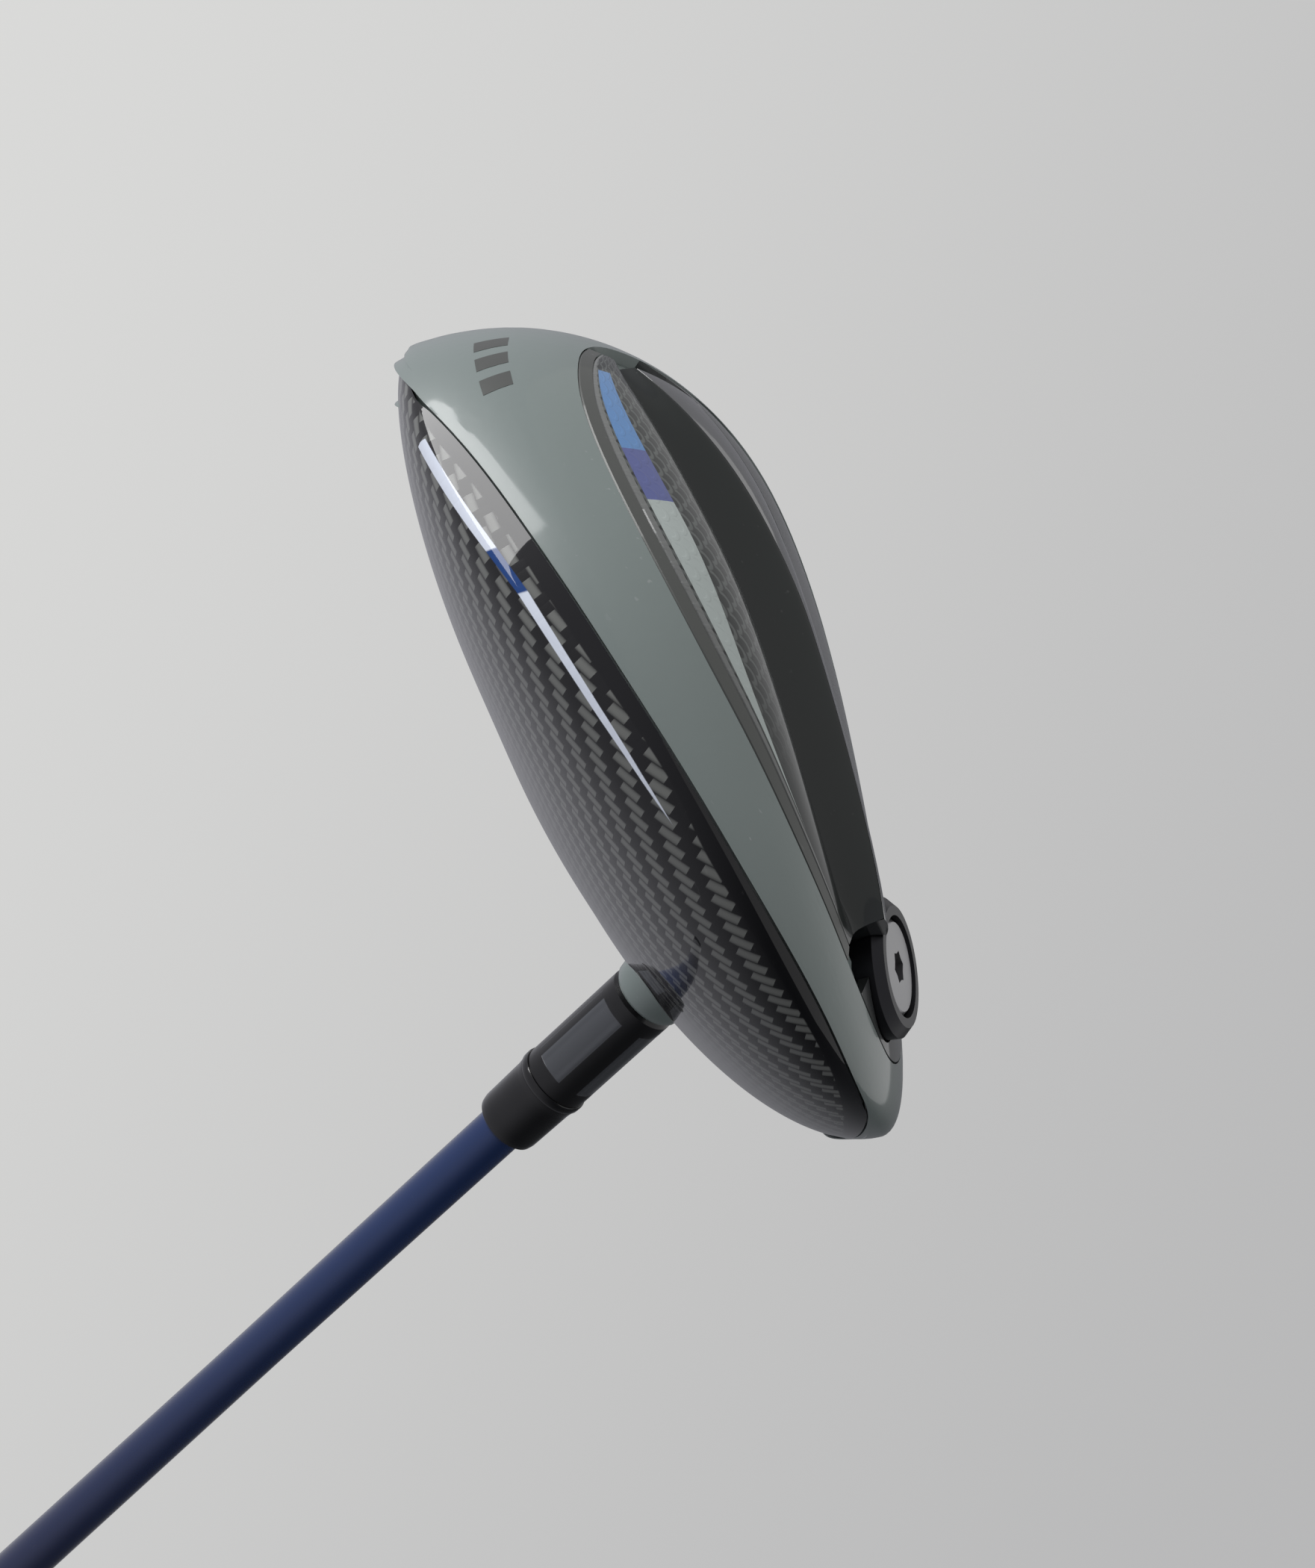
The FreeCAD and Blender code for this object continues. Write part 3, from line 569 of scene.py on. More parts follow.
def twill_group() -> bpy.types.NodeTree:
    """Two-by-two twill: a thread is on top where the cell's column minus row, by fours, is low; the
    Shade output is a painted sheen across each tow.

    Returns:
        The group.
    """
    repeat, over, strands = 4.0, 1.5, 75.0
    n, given, out = group("twill", [("Vector", "NodeSocketVector", None),
                                    ("Cell", "NodeSocketFloat", 2.7)], ["Warp", "Shade", "Height"])
    parts = n.add("ShaderNodeSeparateXYZ")
    n.feed(parts.inputs[0], given["Vector"])
    x = n.math("DIVIDE", parts.outputs[0], given["Cell"])
    y = n.math("DIVIDE", parts.outputs[1], given["Cell"])
    step = n.math("FLOORED_MODULO", n.math("SUBTRACT", n.math("FLOOR", x), n.math("FLOOR", y)), repeat)
    warp = n.math("LESS_THAN", step, over)
    across = n.add("ShaderNodeMix", data_type="FLOAT")
    for index, value in ((0, warp), (2, n.math("FRACT", y)), (3, n.math("FRACT", x))):
        n.feed(across.inputs[index], value)
    off = n.math("MULTIPLY_ADD", across.outputs[0], 2.0, -1.0)
    # Painted sheen: each tow is painted brightest along its middle and darker towards its edges, with
    # fine fibre lines; the same curve is the bump height.
    round_top = n.math("SUBTRACT", 1.0, n.math("POWER", n.math("ABSOLUTE", off), 3.0))
    fine = n.math("SINE", n.math("MULTIPLY", across.outputs[0], strands))
    n.feed(out["Warp"], warp)
    n.feed(out["Shade"], n.math("MULTIPLY", round_top, n.math("MULTIPLY_ADD", fine, 0.08, 0.92)))
    n.feed(out["Height"], round_top)
    return n.tree


def wear_group() -> bpy.types.NodeTree:
    """Chips from sparse cells, hairlines from stretched noise, and a soft grime.

    Returns:
        The group.
    """
    n, given, out = group("wear", [("Vector", "NodeSocketVector", None),
                                   ("Amount", "NodeSocketFloat", 1.0)],
                          ["Chips", "Hairlines", "Grime"])
    cells = n.add("ShaderNodeTexVoronoi")
    n.feed(cells.inputs["Vector"], given["Vector"])
    cells.inputs["Scale"].default_value = 85.0
    rough = n.math("ADD", cells.outputs["Distance"],
                   n.math("MULTIPLY", n.noise(given["Vector"], 900.0), 0.16))
    sparse = n.ramp(n.noise(given["Vector"], 46.0, 1.0), 0.60, 0.64)
    chips = n.math("MULTIPLY", n.ramp(rough, 0.17, 0.15), sparse)
    long = n.noise(n.scaled(given["Vector"], (30, 900, 900), (0.3, 0.5, 0.9)), 1.0, 2.0)
    hair = n.math("MULTIPLY", n.ramp(long, 0.70, 0.76), n.ramp(
        n.noise(given["Vector"], 30.0, 1.0), 0.5, 0.62))
    n.feed(out["Chips"], n.math("MULTIPLY", chips, given["Amount"]))
    n.feed(out["Hairlines"], n.math("MULTIPLY", hair, given["Amount"]))
    n.feed(out["Grime"], n.ramp(n.noise(given["Vector"], 22.0, 6.0), 0.35, 0.75))
    return n.tree


# ---------------------------------------------------------------------------- finishes
@dataclass(frozen=True)
class Finish:
    """A lacquered, moulded or metal finish with wear."""

    name: str
    color: tuple[float, float, float]
    bare: tuple[float, float, float] = (0.02, 0.02, 0.02)
    rough: float = 0.3
    metal: float = 0.0
    coat: float = 0.0
    coat_rough: float = 0.05
    shine: float = 0.5
    wear: float = 0.5
    grain: float = 700.0
    grain_depth: float = 0.03
    vary: float = 0.12

    def start(self) -> tuple[Nodes, bpy.types.Node, bpy.types.Material]:
        """New material with its Principled shader and plain values.

        Returns:
            Node helper, shader and material.
        """
        mat = bpy.data.materials.new(self.name)
        mat.use_nodes = True
        n = Nodes(mat.node_tree)
        shader = mat.node_tree.nodes["Principled BSDF"]
        shader.inputs["Metallic"].default_value = self.metal
        shader.inputs["Coat Weight"].default_value = self.coat
        shader.inputs["Coat Roughness"].default_value = self.coat_rough
        shader.inputs["Specular IOR Level"].default_value = self.shine
        return n, shader, mat

    def surface(self, n: Nodes, shader: bpy.types.Node, color: object,
                relief: object = None) -> None:
        """Wear over a colour, with grain in the bump.

        Args:
            n: node helper.
            shader: Principled shader.
            color: colour or socket.
            relief: extra height in millimetres, or None.
        """
        where = n.place()
        wear = n.add("ShaderNodeGroup", node_tree=bpy.data.node_groups["wear"])
        n.feed(wear.inputs["Vector"], where)
        wear.inputs["Amount"].default_value = self.wear
        chips, hair, grime = wear.outputs
        dull = n.mix(n.math("MULTIPLY", grime, self.vary), color, (*[c * 0.6 for c in self.color], 1))
        n.feed(shader.inputs["Base Color"],
               n.mix(chips, n.mix(n.math("MULTIPLY", hair, 0.35), dull, (0.5, 0.5, 0.5, 1)),
                     (*self.bare, 1)))
        n.feed(shader.inputs["Roughness"], n.math(
            "ADD", n.math("MULTIPLY_ADD", grime, 0.10, self.rough),
            n.math("MULTIPLY", chips, 0.3)))
        height = n.math("MULTIPLY_ADD", n.noise(where, self.grain, 4.0), self.grain_depth,
                        n.math("MULTIPLY", chips, -0.12))
        if relief is not None:
            height = n.math("ADD", height, relief)
        bump = n.add("ShaderNodeBump")
        bump.inputs["Strength"].default_value = 0.6
        bump.inputs["Distance"].default_value = MM
        n.feed(bump.inputs["Height"], height)
        n.feed(shader.inputs["Normal"], bump.outputs[0])

    def make(self) -> bpy.types.Material:
        """Plain coloured material of this finish.

        Returns:
            The material.
        """
        n, shader, mat = self.start()
        self.surface(n, shader, (*self.color, 1))
        return mat


@dataclass(frozen=True)
class CrownFinish(Finish):
    """Clear-coated twill with a black margin and a tapering stripe."""

    cell: float = 1.4

    def make(self) -> bpy.types.Material:
        """Weave with painted tow sheen, margin and stripe from the panel's own attributes.

        Returns:
            The material.
        """
        n, shader, mat = self.start()
        twill = n.add("ShaderNodeGroup", node_tree=bpy.data.node_groups["twill"])
        n.feed(twill.inputs["Vector"], n.scaled(n.value("drape").outputs["Vector"], (1, 1, 1),
                                                (0, 0, math.radians(33))))
        twill.inputs["Cell"].default_value = self.cell
        warp, shade, height = twill.outputs
        # Painted sheen: warp tows are painted pale, brightest down their middles, and weft tows are
        # left dark, as light from one side would show them.
        light = n.math("MULTIPLY", warp, shade)
        weave_and_sheen = n.mix(light, (0.006, 0.006, 0.007, 1), (0.17, 0.175, 0.165, 1))
        inside = n.ramp(n.value("weave_in").outputs["Fac"], -0.12, 0.12)
        base = n.mix(inside, (0.003, 0.003, 0.004, 1), weave_and_sheen)
        on = n.ramp(n.value("stripe_in").outputs["Fac"], -0.06, 0.06)
        blue = n.ramp(n.math("ABSOLUTE", n.value("stripe_blue").outputs["Fac"]), 1.05, 0.95)
        paint = n.mix(blue, (0.70, 0.75, 0.85, 1), (0.004, 0.045, 0.20, 1))
        self.surface(n, shader, n.mix(on, base, paint), n.math(
            "MULTIPLY", n.math("MULTIPLY", height, inside), 0.02))
        return mat


@dataclass(frozen=True)
class RecessFinish(Finish):
    """Dark recess with a thin rim, a colour bar along its upper edge and scalloped weave whose lines
    are painted pale only on the lit part.
    """

    def make(self) -> bpy.types.Material:
        """Bar and scallops from the panel's own along and across values.

        Returns:
            The material.
        """
        n, shader, mat = self.start()
        own = n.add("ShaderNodeSeparateXYZ")
        n.feed(own.inputs[0], n.value("along").outputs["Vector"])
        k, v, mm = own.outputs
        row = n.math("DIVIDE", n.math("MULTIPLY", v, 34.0), 1.9)
        shift = n.math("MULTIPLY", n.math("FLOORED_MODULO", n.math("FLOOR", row), 2.0), 0.5)
        x = n.math("SUBTRACT", n.math("FRACT", n.math("ADD", n.math("DIVIDE", mm, 3.0), shift)),
                   0.5)
        y = n.math("FRACT", row)
        arc = n.math("SQRT", n.math("ADD", n.math("MULTIPLY", x, n.math("MULTIPLY", x, 2.2)),
                                    n.math("MULTIPLY", y, y)))
        line = n.ramp(n.math("ABSOLUTE", n.math("SUBTRACT", arc, 0.62)), 0.20, 0.08)
        # Painted highlight: the scallop lines are painted pale only over the upper, toe-end part of
        # the recess where light falls, and are left dark on the shaded wall; the bump follows the same
        # mask.
        lit = n.math("MULTIPLY", n.ramp(v, 0.52, 0.36), n.ramp(k, 0.80, 0.55))
        weave_and_sheen = n.mix(n.math("MULTIPLY", line, lit), (0.006, 0.009, 0.008, 1),
                      (0.085, 0.095, 0.09, 1))
        wide = n.ramp(k, 0.36, 0.86, 0.17, 0.035)
        in_bar = n.math("MULTIPLY", n.math("GREATER_THAN", v, 0.035), n.math("LESS_THAN", v, wide))
        in_bar = n.math("MULTIPLY", in_bar, n.math("MULTIPLY", n.math("GREATER_THAN", k, 0.07),
                                                   n.math("LESS_THAN", k, 0.84)))
        paint = n.mix(n.math("GREATER_THAN", k, 0.25), (0.10, 0.24, 0.50, 1),
                      (0.09, 0.11, 0.30, 1))
        paint = n.mix(n.math("GREATER_THAN", k, 0.345), paint, (0.42, 0.47, 0.45, 1))
        base = n.mix(in_bar, weave_and_sheen, paint)
        base = n.mix(n.math("LESS_THAN", v, 0.022), base, (0.16, 0.165, 0.16, 1))
        self.surface(n, shader, base, n.math("MULTIPLY", n.math("MULTIPLY", line, lit), 0.05))
        return mat


@dataclass(frozen=True)
class ShaftFinish(Finish):
    """Blue lacquer that falls to navy up the shaft."""

    def make(self) -> bpy.types.Material:
        """Colour by height along the axis.

        Returns:
            The material.
        """
        n, shader, mat = self.start()
        dot = n.add("ShaderNodeVectorMath", operation="DOT_PRODUCT")
        n.feed(dot.inputs[0], n.place())
        dot.inputs[1].default_value = tuple(AXIS)
        up = n.ramp(dot.outputs["Value"], 0.10, 0.34)
        self.surface(n, shader, n.mix(up, (0.012, 0.035, 0.13, 1), (0.003, 0.006, 0.045, 1)))
        return mat


@dataclass(frozen=True)
class GripFinish(Finish):
    """Moulded rubber with small crosses in rows round the grip."""

    def make(self) -> bpy.types.Material:
        """Crosses in the turn and height of the piece.

        Returns:
            The material.
        """
        n, shader, mat = self.start()
        own = n.add("ShaderNodeSeparateXYZ")
        n.feed(own.inputs[0], n.value("turn").outputs["Vector"])
        x = n.math("ABSOLUTE", n.math("SUBTRACT", n.math("FRACT", n.math(
            "MULTIPLY", own.outputs[0], 18 / (2 * math.pi))), 0.5))
        y = n.math("ABSOLUTE", n.math("SUBTRACT", n.math("FRACT", n.math(
            "DIVIDE", own.outputs[1], 4.2)), 0.5))
        cross = n.ramp(n.math("ABSOLUTE", n.math("SUBTRACT", x, y)), 0.10, 0.04)
        self.surface(n, shader, n.mix(cross, (*self.color, 1), (0.008, 0.008, 0.009, 1)),
                     n.math("MULTIPLY", cross, -0.3))
        return mat


@dataclass(frozen=True)
class SleeveFinish(Finish):
    """Black anodised sleeve with lighter satin windows along it."""

    def make(self) -> bpy.types.Material:
        """Windows in the turn and height of the piece.

        Returns:
            The material.
        """
        n, shader, mat = self.start()
        own = n.add("ShaderNodeSeparateXYZ")
        n.feed(own.inputs[0], n.value("turn").outputs["Vector"])
        round_it = n.math("FRACT", n.math("MULTIPLY", own.outputs[0], 4 / (2 * math.pi)))
        side = n.ramp(n.math("ABSOLUTE", n.math("SUBTRACT", round_it, 0.5)), 0.31, 0.29)
        along = n.ramp(n.math("ABSOLUTE", n.math("SUBTRACT", own.outputs[1], 73.5)), 8.2, 8.0)
        window = n.math("MULTIPLY", side, along)
        self.surface(n, shader, n.mix(window, (*self.color, 1), (0.085, 0.09, 0.10, 1)),
                     n.math("MULTIPLY", window, -0.08))
        return mat


def dress(obj: bpy.types.Object, finish: Finish, slot: str) -> None:
    """Give a piece its only material.

    Args:
        obj: the piece.
        finish: its finish.
        slot: the record's material slot; not used.
    """
    mat = bpy.data.materials.get(finish.name) or finish.make()
    obj.data.materials.clear()
    obj.data.materials.append(mat)


PAINT = Finish("skirt_paint", (0.185, 0.222, 0.212), bare=(0.05, 0.052, 0.052), rough=0.34,
               coat=0.7, coat_rough=0.08, wear=0.85, vary=0.18)
CROWN = CrownFinish("crown_twill", (0.02, 0.02, 0.02), bare=(0.2, 0.2, 0.2), rough=0.32,
                    coat=1.0, coat_rough=0.02, shine=0.05, wear=0.12, grain_depth=0.004,
                    vary=0.05)
RECESS = RecessFinish("recess_weave", (0.02, 0.022, 0.022), rough=0.28, coat=0.8,
                      coat_rough=0.05, shine=0.2, wear=0.15, vary=0.1)
FRAME = Finish("frame_grey", (0.088, 0.092, 0.086), bare=(0.25, 0.25, 0.25), rough=0.38,
               metal=0.35, coat=0.3, wear=0.4)
RIDGE = Finish("ridge_gloss", (0.012, 0.014, 0.014), bare=(0.15, 0.15, 0.15), rough=0.22,
               coat=0.9, coat_rough=0.05, wear=0.35)
SOLE = Finish("sole_panel", (0.03, 0.033, 0.033), rough=0.35, coat=0.6, wear=0.4)
FACE = Finish("face_metal", (0.12, 0.12, 0.125), bare=(0.4, 0.4, 0.4), rough=0.42, metal=0.8,
              wear=0.6, grain_depth=0.06)
DARK = Finish("dark_alloy", (0.022, 0.023, 0.026), bare=(0.4, 0.4, 0.4), rough=0.26, metal=0.35,
              coat=0.5, wear=0.25)
STEEL = Finish("steel", (0.42, 0.42, 0.43), bare=(0.15, 0.15, 0.15), rough=0.3, metal=1.0,
               wear=0.3)
SLEEVE = SleeveFinish("sleeve_anodised", (0.010, 0.010, 0.011), bare=(0.3, 0.3, 0.3), rough=0.24,
                      metal=0.3, coat=0.6, shine=0.3, wear=0.12)
FERRULE = Finish("ferrule_black", (0.007, 0.007, 0.008), rough=0.16, coat=0.8, shine=0.2, wear=0.1)
SHAFT = ShaftFinish("shaft_lacquer", (0.01, 0.02, 0.08), rough=0.22, metal=0.25, coat=1.0, shine=0.2,
                    coat_rough=0.03, wear=0.06, grain_depth=0.004, vary=0.05)
GRIP = GripFinish("grip_rubber", (0.03, 0.03, 0.032), rough=0.75, wear=0.2, grain_depth=0.08)
RUBBER = Finish("seal_rubber", (0.02, 0.02, 0.02), rough=0.8, wear=0.1)
TAPE = Finish("tape", (0.45, 0.43, 0.36), rough=0.85, wear=0.1)


# ---------------------------------------------------------------------------- sub-assemblies
@dataclass
class CrownPanel:
    """Woven crown panel with a rounded edge."""

    form: HeadForm
    wall: float = 1.1
    gap: float = 0.3
    around: int = 420
    rows: int = 90

    def build(self) -> bpy.types.Object:
        """Outer skin from the top to the seam, over a rounded edge, back along the inside.

        Returns:
            The panel.
        """
        turn = np.linspace(-math.pi, math.pi, self.around, endpoint=False)
        edge = self.form.moved_seam(turn, self.form.crown_seam, self.gap, -1)
        f = np.linspace(0, 1, self.rows)[:, None]
        outer = self.form.at(turn, edge * f)
        inner = self.form.at(turn, edge * f, self.wall)
        lip = self.form.at(turn, edge, self.wall * 0.5)
        rows = np.concatenate([outer, lip[None], inner[::-1]])
        points, faces, pack = wrapped(rows, Ends.POLES)
        step = np.linalg.norm(np.diff(outer, axis=0), axis=-1)
        far = np.concatenate([np.zeros((1, self.around)), np.cumsum(step, 0)])
        heading = outer[2] - outer[0]
        bearing = np.arctan2(heading[:, 1], heading[:, 0])
        drape = np.stack([far * np.cos(bearing), far * np.sin(bearing), 0 * far], -1)
        values = {"drape": drape, "weave_in": self.weave_in(turn, edge * f, far),
                  **self.stripe(turn, edge * f, far)}
        full = {key: pack(np.concatenate([v, v[-1:], v[::-1]])) for key, v in values.items()}
        obj = put_mesh("crown_skin", points, faces, "head", 40.0, full)
        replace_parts(obj, "crown_panel")
        dress(obj, CROWN, "crown_composite")
        return obj

    def reach(self, s_line: np.ndarray, s: np.ndarray, far: np.ndarray) -> np.ndarray:
        """Distance along the surface from the top to a line, for every column."""
        return np.array([np.interp(s_line[i], s[:, i], far[:, i]) for i in range(s.shape[1])])

    def weave_in(self, turn: np.ndarray, s: np.ndarray, far: np.ndarray) -> np.ndarray:
        """Millimetres from a point out to the edge of the weave, negative in the margin.

        Args:
            turn: direction of each column, radians.
            s: section value of each point.
            far: distance of each point from the top, mm.

        Returns:
            Distance for each point.
        """
        line = closed_curve([(2.5, 0.93), (-13.5, 1.015), (-26, 1.045), (-38, 1.045),
                             (-50, 1.045), (-64, 1.045), (-74, 1.01), (-89, 1.0), (-100, 0.99),
                             (-107, 0.975), (-123, 0.92), (-150, 0.84), (-175, 0.62),
                             (160, 0.48), (142, 0.31), (118, 0.155), (90, 0.14), (60, 0.255),
                             (36, 0.50), (18, 0.76)])(turn)
        return self.reach(line, s, far) - far

    def stripe(self, turn: np.ndarray, s: np.ndarray, far: np.ndarray) -> dict:
        """Signed depth inside the stripe, and place along it in units of the blue part.

        Args:
            turn: direction of each column, radians.
            s: section value of each point.
            far: distance of each point from the top, mm.

        Returns:
            The two attributes by name.
        """
        deg = np.degrees(turn)
        line = np.interp(deg, [-74, -53.5, -36.5, -29.5, -9], [0.955, 0.97, 0.995, 0.975, 0.89])
        half = np.interp(deg, [-75, -74, -55, -36.5, -9, -8.4], [-2, 0.0, 0.45, 0.62, 1.05, -2])
        half = np.where((deg < -74.5) | (deg > -8.6), -3.0, half)
        mid = self.reach(line, s, far)
        return {"stripe_in": half - np.abs(far - mid),
                "stripe_blue": (deg + 33.0) / 3.5 + 0 * far}


@dataclass
class ToeRecess:
    """Scooped toe-side sole panel between the trim strip and the ridge."""

    form: HeadForm
    start: float = 2.3
    gap: float = 0.3
    depth: float = 7.0
    ridge_drop: float = 3.6
    wall: float = 1.3
    cols: int = 300
    rows: int = 120
    first_deg: float = 16.0
    sweep_deg: float = 114.0
    deepest: float = 0.8
    rim_plan: tuple[tuple[float, float], ...] = (
        (80.5, -17.5), (75.5, -23.5), (69.0, -29.0), (61.5, -35.5), (53.5, -43.0),
        (45.5, -51.5), (38.0, -60.5), (31.0, -69.5), (26.0, -76.5))

    def rim(self, k: np.ndarray, off: float) -> np.ndarray:
        """Plan curve fitted near the rim points, by length, moved sideways.

        Args:
            k: share of the length, 0 at the toe.
            off: sideways move, mm.

        Returns:
            (n, 2) plan points.
        """
        p = np.array(self.rim_plan)
        long = np.concatenate([[0], np.cumsum(np.linalg.norm(np.diff(p, axis=0), axis=1))])
        fit = [np.polyfit(long / long[-1], p[:, i], 6) for i in (0, 1)]
        xy = np.stack([np.polyval(c, k) for c in fit], -1)
        d = np.stack([np.polyval(np.polyder(c), k) for c in fit], -1)
        d = d / np.linalg.norm(d, axis=-1, keepdims=True)
        return xy + off * np.stack([d[:, 1], -d[:, 0]], -1)

    def build(self) -> bpy.types.Object:
        """Sole height plus the scoop: a slow power in, a cosine out, deepest past the middle.

        Returns:
            The panel.
        """
        k = np.linspace(0, 1, self.cols)
        turn = np.radians(self.first_deg - self.sweep_deg * k)
        s = self.form.moved_seam(turn, self.form.sole_seam, self.start, 1)
        a = self.form.at(turn, s)[:, :2]
        b = self.rim(k, -self.gap)
        v = np.linspace(0, 1, self.rows)[:, None]
        xy = a[None] + (b - a)[None] * v[..., None]
        along = np.maximum(0, np.sin(math.pi * np.minimum(1, 0.04 + k * 0.96))) ** 0.6
        rest = 0.2
        out = np.maximum(0, np.cos(math.pi / 2 * (v - self.deepest) / rest)) ** 0.8
        scoop = np.where(v < self.deepest, (v / self.deepest) ** 2.6, out)
        z = (self.form.sole_height(xy) + self.depth * along * scoop * (1 - v**12)
             - self.ridge_drop * k**1.5 * v**6)
        low = np.concatenate([xy, z[..., None]], -1)
        points, faces = slab(low, low + np.array([0, 0, self.wall]))
        step = np.linalg.norm(np.diff(low, axis=1), axis=-1)
        mm = np.concatenate([np.zeros((self.rows, 1)), np.cumsum(step, 1)], 1)
        own = np.stack([k[None] + 0 * v, v + 0 * k[None], mm], -1)
        along_values = np.concatenate([own, own[::-1]]).reshape(-1, 3)
        obj = put_mesh("toe_recess_skin", points, faces, "head", 40.0, {"along": along_values})
        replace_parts(obj, "toe_sole_panel")
        dress(obj, RECESS, "sole_composite")
        return obj


@dataclass
class Head:
    """Head pieces carried over from the frame, with finer skins where they show."""

    form: HeadForm = field(default_factory=HeadForm)
    skins: tuple[tuple[str, Finish, str], ...] = (
        ("head_casting", PAINT, "cast_metal"), ("face_plate", FACE, "face"),
        ("sole_ridge", RIDGE, "dark_composite"), ("heel_sole_panel", SOLE, "sole_composite"),
        ("recess_trim", FRAME, "trim"), ("weight_housing", DARK, "dark_alloy"),
        ("rear_weight", STEEL, "weight_steel"), ("weight_seal", RUBBER, "seal_rubber"),
        ("bolt_washer", STEEL, "bolt_steel"), ("bolt_retainer", RUBBER, "seal_rubber"),
        ("hosel_bolt", STEEL, "bolt_steel"))

    def build(self) -> None:
        """All head pieces."""
        for node, finish, slot in self.skins:
            dress(smooth_copy(node), finish, slot)
            LOG.info("%s skinned", node)
        CrownPanel(self.form).build()
        LOG.info("crown panel built")
        ToeRecess(self.form).build()
        LOG.info("toe recess built")
        self.toe_mark()

    def toe_mark(self) -> None:
        """Three plain slanted bars on the toe, each a thin raised patch."""
        for i, start in enumerate((-4.0, 1.5, 7.0)):
            a, b = np.meshgrid(np.linspace(0, 1, 12), np.linspace(0, 1, 8))
            turn = np.radians(start + 3.2 * a + 2.5 * b)
            s = 1.14 + 0.07 * b
            points, faces = slab(self.form.at(turn, s, 0.2), self.form.at(turn, s, -0.04))
            obj = put_mesh("toe_mark_%d" % (i + 1), points, faces, "head")
            dress(obj, FRAME, "trim")


@dataclass
class Club:
    """Sleeve, ferrule, shaft and grip on the shaft axis."""

    sleeve_low: float = 61.9
    sleeve_top: float = 84.8
    length: float = 1160.0
    grip_length: float = 267.0

    def build(self) -> None:
        """Skins of the straight pieces, and a moulded grip."""
        for node, finish, slot in (("ferrule", FERRULE, "ferrule_plastic"),
                                   ("ferrule_collar", FERRULE, "ferrule_plastic"),
                                   ("shaft", SHAFT, "shaft_graphite"),
                                   ("tip_plug", RUBBER, "seal_rubber"),
                                   ("grip_tape", TAPE, "tape"), ("grip_cap", RUBBER, "grip_rubber")):
            dress(smooth_copy(node), finish, slot)
            LOG.info("%s skinned", node)
        self.sleeve()
        self.grip()

    def sleeve(self) -> None:
        """Barrel, collar and bores; the collar's four flats are pressed in by a flat-topped wave."""
        high = np.linspace(self.sleeve_low + 2.1, self.sleeve_top - 1.8, 30)
        profile = ([(2.55, 34.4), (4.69, 34.4), (5.19, 34.9), (5.19, self.sleeve_low),
                    (5.75, self.sleeve_low), (6.25, self.sleeve_low + 0.6)]
                   + [(6.25, z) for z in high]
                   + [(6.25, self.sleeve_top), (4.35, self.sleeve_top), (4.35, 51.4),
                      (2.55, 50.4)])

        def flats(turn: np.ndarray, z: np.ndarray) -> np.ndarray:
            """Depth of a flat: a clipped cosine of four waves, faded out at the collar's ends.

            Args:
                turn: angle round the axis, radians.
                z: height along the axis, mm.

            Returns:
                Change of radius, mm.
            """
            wave = np.clip(-2.0 * np.cos(4 * turn), 0, 1)
            fade = np.clip((8.4 - np.abs(z - 73.5)) / 0.4, 0, 1)
            return -0.16 * wave * fade

        obj = turned("sleeve_skin", profile, "club", 160, flats)
        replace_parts(obj, "loft_sleeve")
        dress(obj, SLEEVE, "dark_alloy")
        LOG.info("sleeve built")

    def grip(self) -> None:
        """Tapering grip with shallow rings near its mouth and butt."""
        low, end = self.length - self.grip_length, self.length
        z = np.linspace(low + 1.2, end - 14.0, 260)
        r = np.interp(z, [low, low + 5, low + 60, low + 130, low + 200, end - 14],
                      [9.8, 9.8, 10.3, 11.1, 12.0, 13.1])
        ring = ((np.abs(z - low - 8) < 1.0) | (np.abs(z - end + 22) < 1.0)) * -0.25
        outer = list(zip(r + ring, z))
        profile = ([(8.0, low), (9.0, low)] + outer
                   + [(13.5, end - 7), (13.3, end - 3), (12.1, end - 1), (10.5, end - 1),
                      (10.5, end - 4.3), (8.05, end - 4.3), (8.05, end - 200)])
        obj = turned("grip_skin", profile, "club", 96)
        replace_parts(obj, "grip")
        dress(obj, GRIP, "grip_rubber")
        LOG.info("grip built")


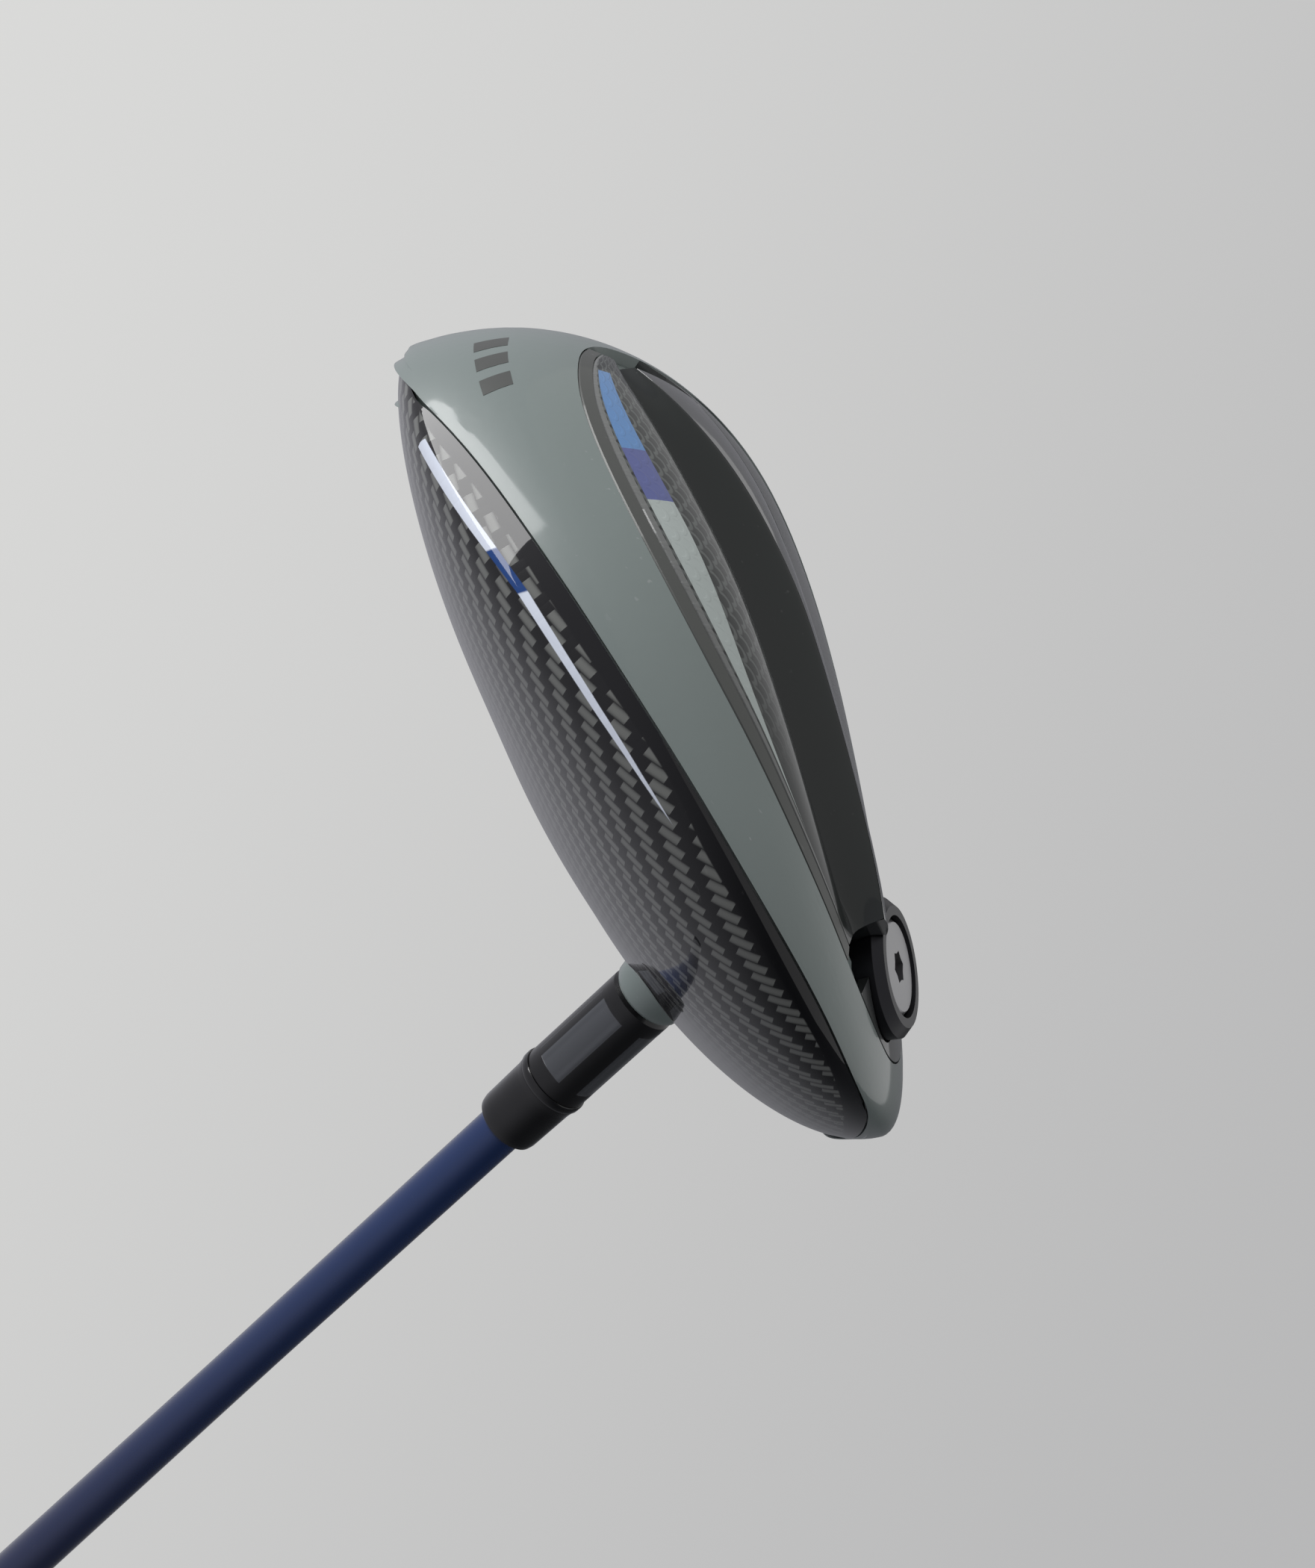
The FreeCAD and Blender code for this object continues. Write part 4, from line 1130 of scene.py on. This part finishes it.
@dataclass
class Studio:
    """Pale stage, soft lights and the camera."""

    azimuth: float = 30.52
    elevation: float = -9.81
    roll: float = -105.70
    place: tuple[float, float, float] = (0.18405, -0.29889, -0.02181)
    lens: float = 51.51
    floor_side: float = 2.0
    floor_height: float = -0.6

    def axes(self) -> tuple[np.ndarray, np.ndarray, np.ndarray]:
        """Right, up and back directions of the camera.

        Returns:
            Three unit vectors.
        """
        a, e, p = (math.radians(v) for v in (self.azimuth, self.elevation, self.roll))
        back = np.array([math.sin(a) * math.cos(e), -math.cos(a) * math.cos(e), math.sin(e)])
        right0 = np.array([math.cos(a), math.sin(a), 0.0])
        up0 = np.cross(back, right0)
        right = math.cos(p) * right0 + math.sin(p) * up0
        return right, -math.sin(p) * right0 + math.cos(p) * up0, back

    def camera(self) -> None:
        """Camera at its place."""
        data = bpy.data.cameras.new("camera")
        data.lens, data.sensor_width, data.clip_start = self.lens, 36.0, 0.01
        obj = bpy.data.objects.new("camera", data)
        bpy.context.scene.collection.objects.link(obj)
        matrix = np.eye(4)
        matrix[:3, 0], matrix[:3, 1], matrix[:3, 2] = self.axes()
        matrix[:3, 3] = self.place
        obj.matrix_world = matrix.T.tolist()
        bpy.context.scene.camera = obj

    def light(self, name: str, offset: tuple[float, float, float], size: float,
              power: float) -> None:
        """Square soft light aimed at the head.

        Args:
            name: light name.
            offset: place from the head along the camera's right, up and back, metres.
            size: side, metres.
            power: watts.
        """
        right, up, back = self.axes()
        target = np.array([0.03, -0.03, 0.03])
        away = right * offset[0] + up * offset[1] + back * offset[2]
        data = bpy.data.lights.new(name, "AREA")
        data.size, data.energy = size, power
        obj = bpy.data.objects.new(name, data)
        bpy.context.scene.collection.objects.link(obj)
        z = away / np.linalg.norm(away)
        x = np.cross(up + 0.1 * right, z)
        x = x / np.linalg.norm(x)
        matrix = np.eye(4)
        matrix[:3, 0], matrix[:3, 1], matrix[:3, 2] = x, np.cross(z, x), z
        matrix[:3, 3] = target + away
        obj.matrix_world = matrix.T.tolist()

    def build(self) -> None:
        """World, floor, lights and camera."""
        world = bpy.data.worlds.new("studio")
        bpy.context.scene.world = world
        world.use_nodes = True
        n = Nodes(world.node_tree)
        right, up, _ = self.axes()
        dot = n.add("ShaderNodeVectorMath", operation="DOT_PRODUCT")
        n.feed(dot.inputs[0], n.add("ShaderNodeTexCoord").outputs["Generated"])
        dot.inputs[1].default_value = tuple(-0.8 * right + 0.45 * up)
        tone = n.ramp(dot.outputs["Value"], -0.55, 0.55)
        back = world.node_tree.nodes["Background"]
        # Painted light: the backdrop seen by the camera is a gradient, paler towards the upper left of
        # the view, like a wall lit from there; other rays see a darker room with the same gradient.
        seen = n.add("ShaderNodeLightPath").outputs["Is Camera Ray"]
        pale = n.mix(tone, (0.455, 0.455, 0.46, 1), (0.72, 0.72, 0.71, 1))
        room = n.mix(tone, (0.05, 0.052, 0.056, 1), (0.40, 0.40, 0.43, 1))
        n.feed(back.inputs[0], n.mix(seen, room, pale))
        back.inputs[1].default_value = 1.0
        side, low = self.floor_side, self.floor_height
        mesh = bpy.data.meshes.new("floor")
        mesh.from_pydata([(-side, -side, low), (side, -side, low), (side, side, low),
                          (-side, side, low)], [], [(0, 1, 2, 3)])
        floor = bpy.data.objects.new("floor", mesh)
        bpy.context.scene.collection.objects.link(floor)
        mat = bpy.data.materials.new("floor")
        mat.use_nodes = True
        paper = mat.node_tree.nodes["Principled BSDF"]
        paper.inputs["Base Color"].default_value = (0.08, 0.08, 0.08, 1)
        paper.inputs["Roughness"].default_value = 0.9
        paper.inputs["Specular IOR Level"].default_value = 0.0
        paper.inputs["Emission Color"].default_value = (0.48, 0.48, 0.482, 1)
        paper.inputs["Emission Strength"].default_value = 1.0
        mesh.materials.append(mat)
        self.light("key", (-0.55, 0.75, 0.25), 0.7, 9.0)
        self.light("fill", (0.65, 0.45, 0.75), 0.6, 4.0)
        bpy.context.scene.view_settings.view_transform = "Standard"
        self.camera()


def main() -> None:
    """Build every piece in order."""
    logging.basicConfig(level=logging.INFO, format="%(message)s")
    twill_group()
    wear_group()
    Head().build()
    Club().build()
    Studio().build()


if __name__ == "__main__":
    main()
